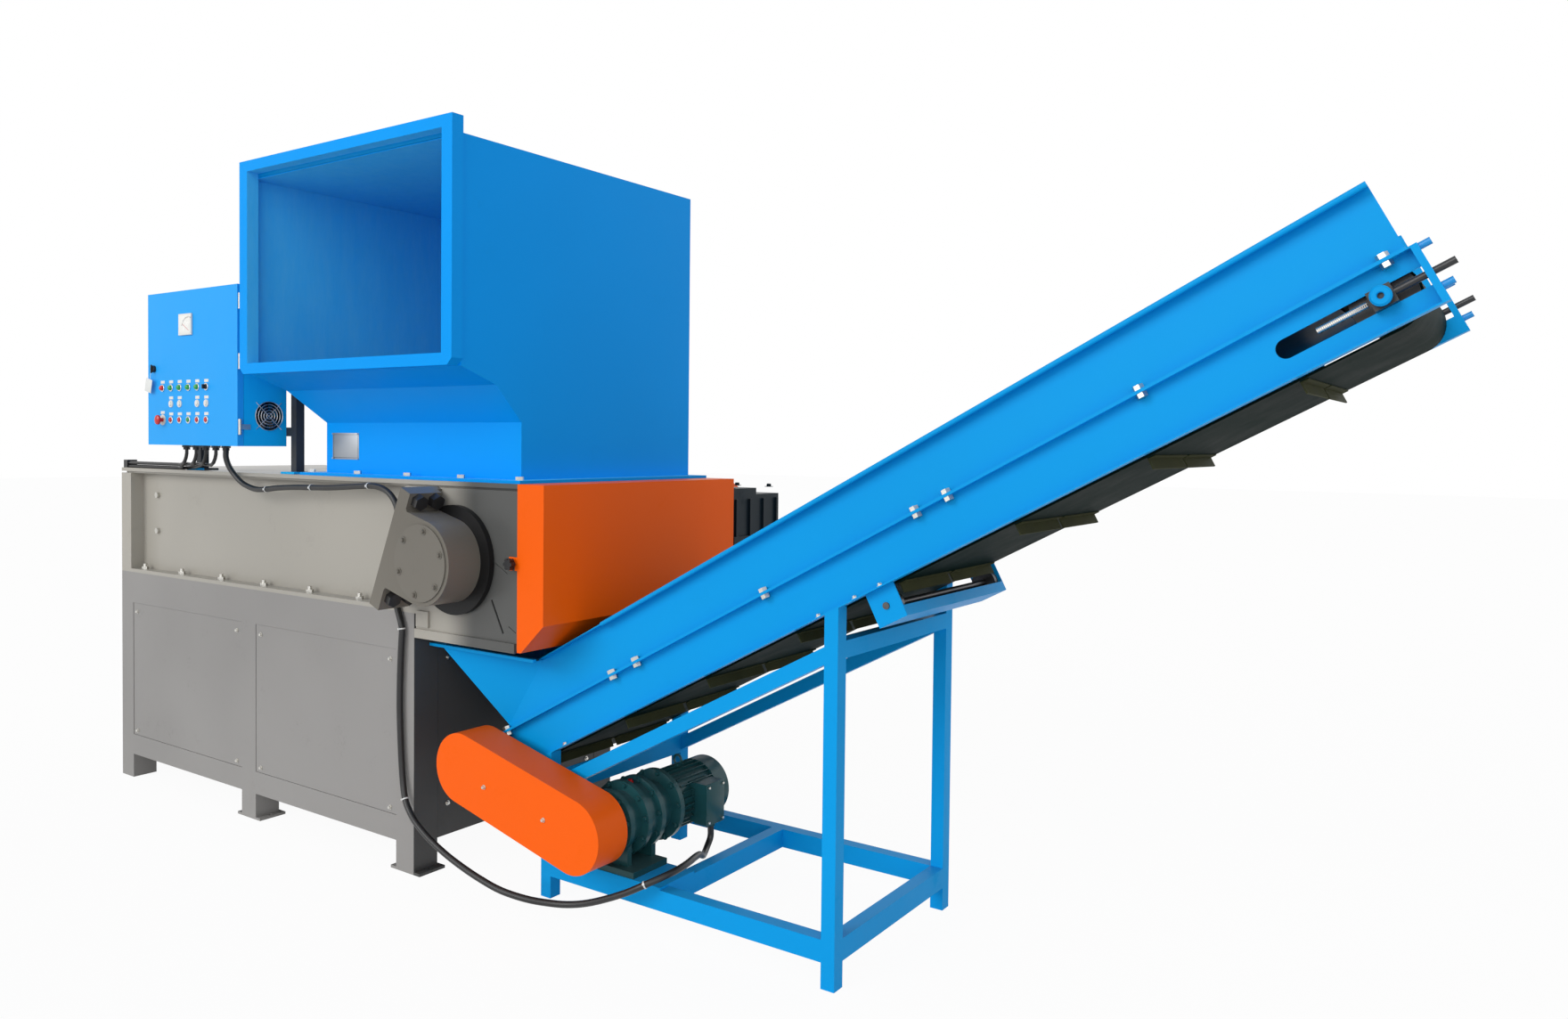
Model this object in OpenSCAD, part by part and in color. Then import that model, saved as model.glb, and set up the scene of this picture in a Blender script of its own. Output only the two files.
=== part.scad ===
// Single shaft shredder with a feed hopper, a control cabinet and an inclined discharge conveyor.
// +X runs towards the discharge, +Y away from the side with the controls, +Z up.
// The origin lies on the floor, midway between the two middle legs of the base frame.

/* [Base frame] */
// Width of the machine over its frame and side plates
machine_w = 1000; // [960:1:1040]
// Side of a square leg tube
leg_w = 100; // [90:1:110]
// Clear bay between the left and the middle legs
left_bay = 878; // [840:1:920]
// Clear bay between the middle and the right legs
right_bay = 892; // [870:1:920]
// Height of the frame
frame_h = 927; // [910:1:935]
// Underside of the lower rails above the floor
low_rail_z = 105; // [90:1:130]
// Height of a lower rail
low_rail_h = 90; // [70:1:110]
// Height of an upper rail
top_rail_h = 137; // [110:1:150]
// Thickness of the rails across the frame
rail_w = 60; // [50:1:80]
// Wall of the frame tubes
tube_t = 5; // [3:0.5:8]
// Length of a foot plate along the machine
foot_len = 160; // [150:1:180]
// Width of a foot plate across the machine
foot_wid = 110; // [105:1:140]
// Thickness of a foot plate
foot_t = 10; // [6:1:16]
// Distance between the two anchor holes of a foot plate
foot_hole_gap = 130; // [125:1:134]
// Diameter of an anchor hole
foot_hole_d = 14; // [10:1:18]
// Thickness of the frame's sheet panels
panel_t = 3; // [2:0.5:5]

/* [Chamber] */
// Length of the press and cutting chamber
chamber_len = 2590; // [2560:1:2620]
// Height of the top deck above the floor
deck_z = 1395; // [1385:1:1410]
// Thickness of the top deck
deck_t = 15; // [10:1:20]
// Thickness of the flange that bolts the chamber to the frame
base_flange_t = 15; // [10:1:20]
// Height of the dark groove under the deck's edge
groove_h = 8; // [4:1:12]
// Thickness of the inner side walls
wall_t = 25; // [20:1:30]
// Depth of the recess in front of the press section's side walls
recess = 55; // [45:1:60]
// Length of the cutting section, where the side walls are thick
cut_len = 575; // [568:1:585]
// Underside of the cutting section above the floor
drop_z = 853; // [845:1:870]
// Height of the floor that the ram slides on
floor_z = 1010; // [1005:1:1014]
// Thickness of that floor
floor_t = 25; // [20:1:30]

/* [Rotor and screen] */
// Distance of the rotor's axis from the chamber's discharge end
rotor_in = 298; // [290:1:306]
// Height of the rotor's axis
rotor_z = 1131; // [1126:1:1136]
// Radius of the rotor's drum
drum_r = 180; // [176:1:182]
// Reach of the knives past the drum
knife_reach = 20; // [16:1:21]
// Side of a square knife
knife_side = 44; // [36:1:48]
// Number of knives on the rotor
knife_count = 32; // [20:2:36]
// Radius of the rotor's shaft
shaft_r = 70; // [60:1:76]
// Gap between the knife tips and the screen
screen_gap = 12; // [10:1:14]
// Thickness of the screen
screen_t = 12; // [8:1:14]
// Diameter of a screen hole
screen_hole_d = 60; // [30:1:64]
// Holes along the screen
screen_cols = 8; // [5:1:9]
// Holes around the screen
screen_rows = 6; // [4:1:6]

/* [Rotor bearings] */
// Tilt of the bearing seats from the vertical
seat_tilt = 22.7; // [20:0.1:25]
// Radius of a bearing housing's round nose
nose_r = 142; // [136:1:148]
// Depth of a bearing housing across the machine
housing_d = 130; // [120:1:135]
// Length of a bearing seat
seat_len = 435; // [425:1:445]
// Distance of a bearing seat's back from the rotor's axis
seat_back = 188; // [184:1:194]
// Thickness of a bearing seat plate
seat_t = 26; // [20:1:30]
// Radius of a rotor bearing's outer ring
bearing_r = 110; // [105:1:115]
// Radius of the round bearing cover
cover_r = 128; // [124:1:132]
// Radius of the black seal ring
seal_r = 186; // [170:1:190]

/* [Ram and hydraulics] */
// Length of the ram
ram_len = 600; // [560:1:640]
// Height of the ram
ram_h = 220; // [200:1:235]
// Place of the ram's front face when it is drawn back
ram_front = 450; // [400:1:480]
// Outer radius of a hydraulic cylinder
cyl_r = 60; // [55:1:70]
// Radius of a piston rod
rod_r = 30; // [25:1:35]

/* [Hopper] */
// Left edge of the mouth frame
mouth_x0 = 297; // [285:1:300]
// Right edge of the mouth frame
mouth_x1 = 1486; // [1480:1:1500]
// Underside of the mouth frame
mouth_z0 = 1771; // [1760:1:1790]
// Top of the mouth frame
mouth_z1 = 2551; // [2520:1:2580]
// Distance of the mouth's face from the middle of the machine
mouth_y = 707; // [690:1:730]
// Depth of the mouth frame
mouth_d = 44; // [38:1:60]
// Width of the mouth frame's border
mouth_b = 50; // [40:1:60]
// Thickness of the hopper's sheet
hopper_t = 6; // [4:0.5:8]
// Width of the hopper's base flange
hop_flange_w = 70; // [60:1:72]

/* [Control cabinet] */
// Left side of the cabinet
cab_x0 = -503; // [-520:1:-490]
// Width of the cabinet
cab_w = 671; // [650:1:680]
// Height of the cabinet
cab_h = 620; // [600:1:640]
// Underside of the cabinet above the floor
cab_z = 1503; // [1490:1:1515]
// Depth of the cabinet without its door
cab_d = 176; // [165:1:180]
// Depth of the door
door_d = 24; // [20:1:28]
// Thickness of the cabinet's sheet
cab_t = 2; // [1.5:0.5:2.5]
// Side of a cabinet post
post_w = 35; // [30:1:38]
// Distance between neighbouring controls along the door
ctrl_pitch = 66.5; // [60:0.5:68]
// Radius of a push button
button_r = 9; // [8:0.5:10]
// Travel of a push button
button_travel = 4; // [2:0.5:5]
// Side of the square cabinet fan
fan_side = 120; // [116:1:124]

/* [Conveyor] */
// Slope of the conveyor in degrees
slope = 27.8; // [27:0.1:28.5]
// Length of the skirt boards
skirt_len = 2795; // [2760:1:2830]
// Height of the skirt boards
skirt_h = 163; // [155:1:170]
// Depth of the lower side plates
channel_h = 137; // [132:1:142]
// Distance of the side plates' outer faces from the middle
side_half = 335; // [330:1:345]
// Width of the flanges on the side plates
lip_w = 28; // [20:1:32]
// Thickness of the conveyor's sheet
sheet_t = 4; // [3:0.5:5]
// Radius of the head and tail pulleys
pulley_r = 70; // [66:0.5:72]
// Thickness of the belt
belt_t = 5; // [4:0.5:6]
// Half the width of the belt
belt_half = 315; // [305:1:318]
// Height of a cleat
cleat_h = 30; // [20:1:34]
// Distance between cleats
cleat_pitch = 377; // [360:1:390]
// Radius of the conveyor's shafts
axle_r = 20; // [16:1:24]
// Side of the stand's square tube
stand_w = 45; // [40:1:50]
// Left side of the stand's left legs
stand_x0 = 1532; // [1520:1:1540]
// Left side of the stand's right legs
stand_x1 = 2649; // [2630:1:2670]

/* [Conveyor drive] */
// Pitch of the roller chain
chain_pitch = 25.4; // [25:0.1:26]
// Teeth on each sprocket
teeth = 16; // [15:1:17]
// Straight chain pitches between the two sprockets
span_pitches = 21; // [20:1:22]
// Fall of the chain drive in degrees
drive_fall = 13.6; // [12:0.1:14]
// Radius of the rounded ends of the chain guard
guard_r = 119; // [110:1:124]
// Distance of the chain guard's face from the middle
guard_y = 520; // [505:1:530]
// Radius of the gear motor's housing
gear_r = 105; // [98:1:108]

/* [Far side drive] */
// Distance of the main motor's axis from the origin
motor_x = 250; // [230:1:270]
// Radius of the main motor's frame
motor_r = 165; // [150:1:175]
// Length of the main motor's frame
motor_len = 470; // [440:1:500]
// Radius of the motor pulley
motor_pulley_r = 100; // [90:1:110]
// Radius of the gearbox pulley
gear_pulley_r = 150; // [140:1:155]
// Number of V-belts
belt_count = 4; // [3:1:4]

/* [Hidden] */

$fn = 48;
// Overrun of every cut past the face it opens
cut = 1;
// Gap between two pieces that lie against each other but move apart
fit = 0.3;
// Radial clearance of a shaft in its bore
run = 0.05;

// Colours
machine_gray = [0.47, 0.47, 0.47];
shell_blue = [0.14, 0.6, 0.93];
guard_orange = [1, 0.4, 0.08];
dark_iron = [0.12, 0.14, 0.16];
drive_teal = [0.15, 0.3, 0.33];
zinc = [0.8, 0.8, 0.78];
steel = [0.62, 0.63, 0.65];
rubber_black = [0.06, 0.06, 0.07];
belt_green = [0.05, 0.16, 0.16];

// Frame, worked out from the bays
half_w = machine_w / 2;
frame_x0 = -(leg_w / 2 + left_bay + leg_w);
frame_x1 = leg_w / 2 + right_bay + leg_w;
leg_x = [frame_x0, -leg_w / 2, frame_x1 - leg_w];
bay_len = [left_bay, right_bay];
end_inset = 4;
panel_gap = 1;
panel_inset = 2;
tab_w = 60;
tab_t = 5;
end_panel_rise = 30;

// Chamber
chamber_x0 = frame_x0;
chamber_x1 = chamber_x0 + chamber_len;
base_z = frame_h + base_flange_t;
wall_top = deck_z - deck_t - groove_h;
inner_half = half_w - recess - wall_t;
wall_face = half_w - recess;
cut_x0 = chamber_x1 - cut_len;
step_x = frame_x1 + 8;
post_len = 83;
groove_inset = 15;
foot_angle_h = 32;
foot_angle_w = 8;
foot_angle_drop = 9;
web_t = 20;
knife_seat_w = 100;
front_wall_t = 20;
front_wall_rise = 86;
band_len = 68;
band_low = 50;
band_up = 280;
band_mid = 76;
band_slot = 120;
band_tilt = 28;
band_w = 40;
scribe = 3;

// Rotor
rotor_x = chamber_x1 - rotor_in;
tip_r = drum_r + knife_reach;
rotor_half = inner_half - 3;
shaft_hole_r = shaft_r + 15;
screen_r = tip_r + screen_gap;
screen_from = 226;
screen_to = 350;
screen_half = inner_half - fit;
counter_gap = 2.6;
knife_drop = rotor_z - floor_z;
counter_tip_x = rotor_x - sqrt(pow(tip_r + counter_gap, 2) - pow(knife_drop, 2));
counter_w = 60;
counter_count = 4;
counter_split = 1;

// Bearings
seal_t = 20;
housing_face = half_w + seal_t;
housing_front = housing_face + housing_d;
foot_t2 = 26;
seat_low = 247;
seat_bolt_up = 161.2;
seat_bolt_low = 202;
fillet_up = 126;
fillet_low = 158;
gusset_w = 55;
gusset_t = 12;
cover_t = 5;
cover_screw_r = 110;
cover_screws = 6;
bearing_w = 60;

// Ram and hydraulics
ram_half = inner_half - 1;
ram_t = 25;
ram_bottom = floor_z + fit;
rod_y = 200;
rod_z = floor_z + ram_h / 2;
cyl_x0 = chamber_x0 + 78;
cyl_x1 = ram_front - ram_len - 150;
cyl_wall = 10;
gland_len = 30;
piston_len = 40;
rod_back = cyl_x0 + 70;
rear_wall_t = 25;
tank_len = 500;
tank_half = 300;
tank_h = 360;
tank_in = 48;
tank_foot = 40;
pump_r = 90;
pump_h = 170;

// Hopper
hop_right = mouth_x1 - 8;
hop_left_low = mouth_x0 + 95;
hop_left_top = mouth_x0 + 5;
hop_top = mouth_z1 - 51;
hop_back = half_w - 28;
hop_near = 410;
knee_y = 520;
knee_z = mouth_z0 - 54;
throat_z = mouth_z0 - 174;
mouth_in_y = mouth_y - mouth_d;
mouth_bz = 39;
mouth_chamfer = 22;
hop_flange_t = 10;
throat_gap = 2;

// Front cover
cover_sheet = 3;
cover_half = half_w + fit + cover_sheet;
cover_len = 120;
cover_chin = 96;
cover_lip = 18;
cover_bottom = drop_z - 5;
cover_flat_z = cover_bottom + cover_chin;
cover_slope = cover_chin / (cover_len - cover_lip);
cover_lean = sqrt(1 + cover_slope * cover_slope);
tab_reach = 38;
tab_h = 44;
knob_z = rotor_z + 5;
knob_in = 18;
stud_r = 6;
knob_r = 20;
knob_lobe_r = 6;
knob_lobes = 6;
knob_t = 18;
knob_neck_r = 10;
knob_neck = 8;
stud_len = 40;

// Far side drive
motor_z = rotor_z;
motor_y0 = half_w + 30;
motor_foot_h = 200;
motor_foot_t = 20;
motor_foot_w = 290;
motor_shaft_r = 30;
motor_fins = 28;
fin_h = 12;
fin_t = 5;
cowl_len = 110;
shelf_z = motor_z - motor_foot_h;
shelf_t = 20;
shelf_end = 1050;
shelf_side = 230;
bracket_t = 12;
bracket_drop = 340;
gear_x0 = rotor_x - 264;
gear_x1 = rotor_x + 296;
gear_y0 = housing_front + cover_t + 5;
gear_y1 = gear_y0 + 330;
gear_z0 = rotor_z - 201;
gear_z1 = rotor_z + 189;
gear_lid_z = rotor_z + 216;
gear_flange_t = 18;
gear_in_x = rotor_x - 185;
gear_in_z = rotor_z + 60;
gear_in_r = 28;
gear_boss_r = 75;
gear_rib_t = 14;
gear_rib_h = 10;
pulley_y0 = gear_y1 + 100;
pulley_w = 90;
groove_w = 17;
groove_pitch = 21;
groove_d = 14;
vbelt_w = 16;
vbelt_t = 12;
guard_gap = 22;
guard_t = 3;

// Cabinet
cab_x1 = cab_x0 + cab_w;
cab_back = 440;
cab_front = cab_back + cab_d;
door_back = cab_front + 1;
door_front = door_back + door_d;
cab_top = cab_z + cab_h;
door_gap = 2;
back_plate_in = 15;
hinge_r = 6;
hinge_pin_r = 3;
hinge_len = 20;
hinge_x = cab_x1 + hinge_r;
hinge_y = door_front - hinge_r;
hinge_z = [cab_z + 64, cab_z + 315, cab_z + 545];
leaf_t = 2;
leaf_w = 26;
post_x = [cab_x0, cab_x1 + 32];
post_h = 600;
post_rail_z = [40, 440];
post_foot = 90;
post_foot_t = 8;
lock_x = cab_x0 + 50;
lock_z = cab_z + 312;
lock_r = 14;
lock_stem_r = 9;
lock_len = 30;
lock_wing_w = 5;
lock_wing_len = 34;
lock_cam_w = 18;
ctrl_x0 = cab_x0 + 118;
ctrl_z = [cab_z + 232, cab_z + 167, cab_z + 102];
meter_w = 96;
meter_h = 86;
meter_x = cab_x0 + 301;
meter_z = cab_z + 483;
meter_t = 8;
bezel_r = 15;
bezel_t = 5;
barrel_r = 11.5;
barrel_len = 40;
button_out = 14;
button_len = 29;
dome_r = 9;
stop_r = 20;
stop_t = 12;
stop_out = 30;
stop_neck_r = 8;
stop_travel = 5;
label_w = 30;
label_h = 13;
label_t = 1;
label_up = 24;
fan_y = 515;
fan_z = cab_z + 118;
fan_t = 25;
fan_bore_r = 56;
fan_hub_r = 22;
fan_blades = 7;
fan_blade_t = 2;
fan_blade_tilt = 35;
fan_wire_r = 1.5;
fan_rings = 5;
fan_pin_r = 3;
gland_x0 = cab_x0 + 110;
gland_pitch = 75;
gland_count = 5;
gland_y = 540;
gland_h = 20;
gland_r = 15;

// Conveyor, measured along its slope (s) and square to it (n)
con_x = chamber_x1 - 54;
con_z = drop_z - 57;
lip_half = side_half + lip_w;
mid_n = -skirt_h;
low_n = -(skirt_h + channel_h);
axis_n = mid_n - 67;
tail_s = -350;
head_s = skirt_len - 82;
frame_s0 = -445;
frame_s1 = skirt_len + 8;
end_t = 15;
slot_s0 = head_s - 213;
slot_h = 45;
belt_r = pulley_r + belt_t;
bed_t = 5;
bed_s0 = tail_s + 100;
bed_s1 = head_s - 100;
cross_w = 40;
cross_s = [20, 560, 1100, 1640, 2180];
rolled_s0 = 330;
roll_r = 7;
skirt_fold_s = -296;
belt_gap = 10;
cleat_side = 300;
cleat_t = 4;
cleat_base = 20;
cleats_top = 8;
cleats_low = 8;
hub_r = 46;
hub_t = 34;
block_len = 50;
block_t = 24;
rod_len = 150;
rod_thread_r = 8;
shaft_end = side_half + 40;
face_bolt_n = [-8, -102];
roller_s = 1310;
roller_r = 40;
roller_n = low_n - roller_r - 10;
wheel_y0 = 303;
wheel_w = 22;
trough_s0 = 1262;
trough_s1 = 1358;
trough_d = 98;
trough_lip = 30;
rail_z = 75;
rail_h = 65;
stand_t = 3;
mid_rail_x = stand_x0 + 478;
brace_n = -425;
brace_top_z = 935;
brace_top_h = 50;
tail_plate_z = 341;
tail_plate_h = 85;
motor_plate_x0 = stand_x0 + 158;
motor_plate_t = 8;
motor_plate_y = 190;

// Tail feed hopper, in the machine's frame
feed_x0 = step_x + 58;
feed_x1 = con_x + 63;
feed_half = 432;
feed_z = con_z + 10;
feed_low_n = mid_n + 15;
feed_low_s = skirt_fold_s * feed_low_n / mid_n + 8;
feed_low_x = con_x + feed_low_s * cos(slope) - feed_low_n * sin(slope);
feed_low_z = con_z + feed_low_s * sin(slope) + feed_low_n * cos(slope);
rim_t = 10;
rim_w = 8;
rim_x0 = frame_x1 + 5;

// Conveyor drive
tail_x = con_x + tail_s * cos(slope) - axis_n * sin(slope);
tail_z = con_z + tail_s * sin(slope) + axis_n * cos(slope);
span = span_pitches * chain_pitch;
drive_x = tail_x + span * cos(drive_fall);
drive_z = tail_z - span * sin(drive_fall);
pitch_r = chain_pitch / 2 / sin(180 / teeth);
roller_chain_r = 7.9;
clear_pins = 2;
tooth_gap = 0.3;
tooth_out = 6;
sprocket_y = 450;
sprocket_t = 15;
link_t = 3;
link_h = 11;
link_gap = 1.5;
guard_back = 388;
guard_sheet = 3;
guard_hole_r = 34;
guard_foot_z = 40;
gear_front = 385;
gear_back = 105;
foot_plate_len = 240;
foot_plate_t = 20;
gear_flange_r = 120;
gear_motor_end = 160;
// Outline of the gear reducer, as shares of its flange's radius and of its length
reducer_shares = [[0, 0], [0.7, 0], [0.7, 0.09], [0.875, 0.107], [0.875, 0.179], [0.77, 0.193], [0.77, 0.329],
  [1, 0.343], [1, 0.414], [0.875, 0.429], [0.875, 0.571], [1, 0.586], [1, 0.657], [0.73, 0.679], [0.73, 0.893],
  [1, 0.929], [1, 1], [0, 1]];
box_x0 = drive_x + gear_r - 4;
box_x1 = box_x0 + 52;
box_y0 = -30;
box_y1 = 62;
box_z0 = 232;
box_z1 = 372;
eye_r = 16;
eye_wire_r = 4;
cable_gland_x = 1945;
cable_gland_y = 35;
cable_gland_h = 20;
cable_r = 11;

// Route of the motor cable, from the cabinet's last gland to the gear motor's terminal box
cable_route = [
  [-93, -540, 1483], [-93, -540, 1455], [-86, -532, 1420], [-62, -522, 1386], [-15, -515, 1352],
  [70, -513, 1332], [150, -513, 1334], [220, -513, 1341], [330, -513, 1347], [450, -513, 1350],
  [570, -513, 1353], [700, -513, 1361], [800, -513, 1367], [860, -513, 1364], [908, -513, 1349],
  [945, -513, 1320], [965, -513, 1280], [966, -513, 1220], [956, -513, 1150], [946, -513, 1080],
  [944, -513, 1015], [955, -513, 960], [975, -514, 915], [992, -515, 870], [989, -515, 820],
  [984, -515, 740], [981, -515, 660], [981, -515, 573], [985, -515, 490], [991, -515, 405],
  [1002, -517, 330], [1023, -523, 274], [1055, -530, 240], [1099, -538, 211], [1170, -543, 175],
  [1260, -545, 140], [1350, -545, 113], [1440, -543, 91], [1530, -535, 72], [1620, -512, 59],
  [1690, -485, 54], [1756, -463, 57], [1830, -450, 75], [1910, -440, 106], [1980, -428, 138],
  [2035, -410, 168], [2072, -370, 188], [2088, -320, 198], [2086, -265, 202], [2070, -210, 200],
  [2045, -155, 188], [2016, -105, 166], [1988, -60, 144], [1964, -22, 136], [1950, 10, 146],
  [1945, 35, 172], [1945, 35, 211.7]];
// Routes of the conduits, from the other glands over the deck's front edge to its left end
conduit_r = 7;
conduit_drop = [[0, 0, 0], [0, 0, -15], [-8, 1, -33], [-28, 5, -51], [-60, 13, -62]];
bundle_turn_x = -290;
bundle_y = -512;
bundle_x = [-560, -660, -800, -930, -990];
end_box_len = 32;
end_box_in = 6;
conduit_lift = [0, 15, 0, 15];
conduit_side = [0, 0, 16, 16];

// Knives and scoops of the rotor
knife_t = 22;
knife_turn = 100;
scoop_r = 34;
scoop_side = 3;
scoop_bite = 2;
shaft_stop = 20;
foot_rise = 8;
gusset_up = [-70, 80];

// Fasteners
nut_w = 24;
nut_t = 12;
nut_in = 152;
nut_pitch = 313;
nut_side = 133;
nut_up = [120, 279];
big_nut_w = 46;
big_nut_t = 26;
seat_bolt_y = [45, 112];
hop_nut_pitch = 290;
mid_bolt_s = [-265, 288, 402, 959, 1513, 1617, 2179, 2751];
drive_brace_z = 340;

// Shared shapes
module block(x0, x1, y0, y1, z0, z1) {
  translate([x0, y0, z0]) cube([x1 - x0, y1 - y0, z1 - z0]);
}
module both_sides() {
  children();
  mirror([0, 1, 0]) children();
}
module rod_x(y, z, x0, x1, r) {
  translate([x0, y, z]) rotate([0, 90, 0]) cylinder(h = x1 - x0, r = r);
}
module rod_y(x, z, y0, y1, r) {
  translate([x, y0, z]) rotate([-90, 0, 0]) cylinder(h = y1 - y0, r = r);
}
module rod_z(x, y, z0, z1, r) {
  translate([x, y, z0]) cylinder(h = z1 - z0, r = r);
}
// A profile drawn in x and z, thick from y0 to y1
module plate_y(y0, y1) {
  translate([0, y1, 0]) rotate([90, 0, 0]) linear_extrude(height = y1 - y0) children();
}
// A profile drawn in y and z, long from x0 to x1
module plate_x(x0, x1) {
  translate([x0, 0, 0]) rotate([90, 0, 90]) linear_extrude(height = x1 - x0) children();
}
// A profile of radius and height, turned about the Y direction and growing towards +Y
module turned_y(x, y, z) {
  translate([x, y, z]) rotate([-90, 0, 0]) rotate_extrude() children();
}
// A square tube with its low corner at p, open along axis 0, 1 or 2
module tube(p, size, axis, wall) {
  open = [for (i = [0:2]) i == axis ? size[i] + 2 * cut : size[i] - 2 * wall];
  start = [for (i = [0:2]) p[i] + (i == axis ? -cut : wall)];
  difference() {
    translate(p) cube(size);
    translate(start) cube(open);
  }
}
module on_slope() {
  translate([con_x, 0, con_z]) rotate([0, -slope, 0]) children();
}
module hex_y(x, z, y0, y1, across) {
  translate([x, y0, z]) rotate([-90, 0, 0]) cylinder(h = y1 - y0, r = across / sqrt(3), $fn = 6);
}
module hex_z(x, y, z0, z1, across) {
  translate([x, y, z0]) cylinder(h = z1 - z0, r = across / sqrt(3), $fn = 6);
}
// The band outside two circles joined by their outer tangents, from p to q
module loop_2d(p, rp, q, rq) {
  d = q - p;
  a = atan2(d[1], d[0]);
  b = acos((rp - rq) / norm(d));
  intersection() {
    union() {
      translate(p) circle(r = rp, $fn = 96);
      translate(q) circle(r = rq, $fn = 96);
      polygon([p + rp * [cos(a + b), sin(a + b)], q + rq * [cos(a + b), sin(a + b)],
        q + rq * [cos(a - b), sin(a - b)], p + rp * [cos(a - b), sin(a - b)]]);
    }
    translate(p - [rp, rp] * 4 - [abs(d[0]), abs(d[1])]) square(2 * norm(d) + 8 * (rp + rq));
  }
}

// Tube swept along a route, its ring carried on from point to point without twist
function unit(v) = v / norm(v);
function along(p, i) = unit(p[min(i + 1, len(p) - 1)] - p[max(i - 1, 0)]);
function square_to(v, t) = unit(v - (v * t) * t);
function sides_of(p, first) = [for (i = 0, n = square_to(first, along(p, 0)); i < len(p);
  i = i + 1, n = i < len(p) ? square_to(n, along(p, i)) : n) n];
module swept(p, r, sides, first) {
  n = sides_of(p, first);
  pts = [for (i = [0:len(p) - 1], k = [0:sides - 1])
    p[i] + r * (cos(360 * k / sides) * n[i] + sin(360 * k / sides) * cross(along(p, i), n[i]))];
  last = (len(p) - 1) * sides;
  walls = [for (i = [0:len(p) - 2], k = [0:sides - 1]) each [
    [i * sides + k, (i + 1) * sides + k, (i + 1) * sides + (k + 1) % sides],
    [i * sides + k, (i + 1) * sides + (k + 1) % sides, i * sides + (k + 1) % sides]]];
  ends = [for (k = [1:sides - 2]) each [[0, k, k + 1], [last, last + k + 1, last + k]]];
  polyhedron(points = pts, faces = concat(walls, ends), convexity = 6);
}
// A folded sheet between four corners, made thick by one shift
module sheet(c, shift) {
  pts = concat(c, [for (p = c) p + shift]);
  inward = cross(c[1] - c[0], c[2] - c[0]) * shift > 0;
  faces = [[0, 1, 2], [0, 2, 3], [4, 6, 5], [4, 7, 6], [0, 4, 5], [0, 5, 1], [1, 5, 6], [1, 6, 2], [2, 6, 7],
    [2, 7, 3], [3, 7, 4], [3, 4, 0]];
  polyhedron(points = pts, faces = [for (f = faces) inward ? f : [f[0], f[2], f[1]]], convexity = 4);
}

// Base frame
module frame_legs() {
  both_sides() for (i = [0:2]) {
    z0 = i == 0 ? 0 : foot_t;
    tube([leg_x[i], -half_w, z0], [leg_w, leg_w, frame_h - z0], 2, tube_t);
  }
}
module frame_rails() {
  both_sides() for (i = [0:1]) {
    tube([leg_x[i] + leg_w, -half_w, low_rail_z], [bay_len[i], rail_w, low_rail_h], 0, tube_t);
    tube([leg_x[i] + leg_w, -half_w, frame_h - top_rail_h], [bay_len[i], rail_w, top_rail_h], 0, tube_t);
  }
  cross_x = [frame_x0 + end_inset, -rail_w / 2, frame_x1 - end_inset - rail_w];
  for (x = cross_x, z = [[low_rail_z, low_rail_h], [frame_h - top_rail_h, top_rail_h]])
    tube([x, -half_w + leg_w, z[0]], [rail_w, machine_w - 2 * leg_w, z[1]], 1, tube_t);
}
module foot_plates() {
  both_sides() for (i = [1:2]) difference() {
    translate([leg_x[i] + leg_w / 2 - foot_len / 2, -half_w, 0]) cube([foot_len, foot_wid, foot_t]);
    for (s = [-1, 1]) rod_z(leg_x[i] + leg_w / 2 + s * foot_hole_gap / 2, -half_w + foot_wid / 2,
      -cut, foot_t + cut, foot_hole_d / 2);
  }
}
module panel_tabs() {
  y = -half_w + panel_inset + panel_t;
  z = [low_rail_z + low_rail_h, frame_h - top_rail_h - tab_w];
  both_sides() for (i = [0:1], zz = z, x = [leg_x[i] + leg_w, leg_x[i + 1] - tab_w])
    block(x, x + tab_w, y, y + tab_t, zz, zz + tab_w);
}
module drive_shelf() {
  block(motor_x - shelf_side, motor_x + shelf_side, half_w, shelf_end, shelf_z - shelf_t, shelf_z);
  for (x = [motor_x - shelf_side, motor_x + shelf_side - bracket_t]) plate_x(x, x + bracket_t)
    polygon([[half_w, shelf_z - shelf_t], [shelf_end - bracket_t, shelf_z - shelf_t],
      [half_w, shelf_z - shelf_t - bracket_drop]]);
}
module base_frame() {
  color(machine_gray) {
    frame_legs();
    frame_rails();
    foot_plates();
    panel_tabs();
    drive_shelf();
  }
}
module base_panels() {
  z0 = low_rail_z + low_rail_h + panel_gap;
  z1 = frame_h - top_rail_h - panel_gap;
  color(machine_gray) {
    both_sides() for (i = [0:1])
      block(leg_x[i] + leg_w + panel_gap, leg_x[i + 1] - panel_gap, -half_w + panel_inset,
        -half_w + panel_inset + panel_t, z0, z1);
    end_half = half_w - leg_w - panel_gap;
    block(frame_x1 - end_inset, frame_x1 - end_inset + panel_t, -end_half, end_half, low_rail_z,
      z1 + end_panel_rise);
    block(frame_x0 + end_inset - panel_t, frame_x0 + end_inset, -end_half, end_half, low_rail_z,
      z1 + end_panel_rise);
  }
}

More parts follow.
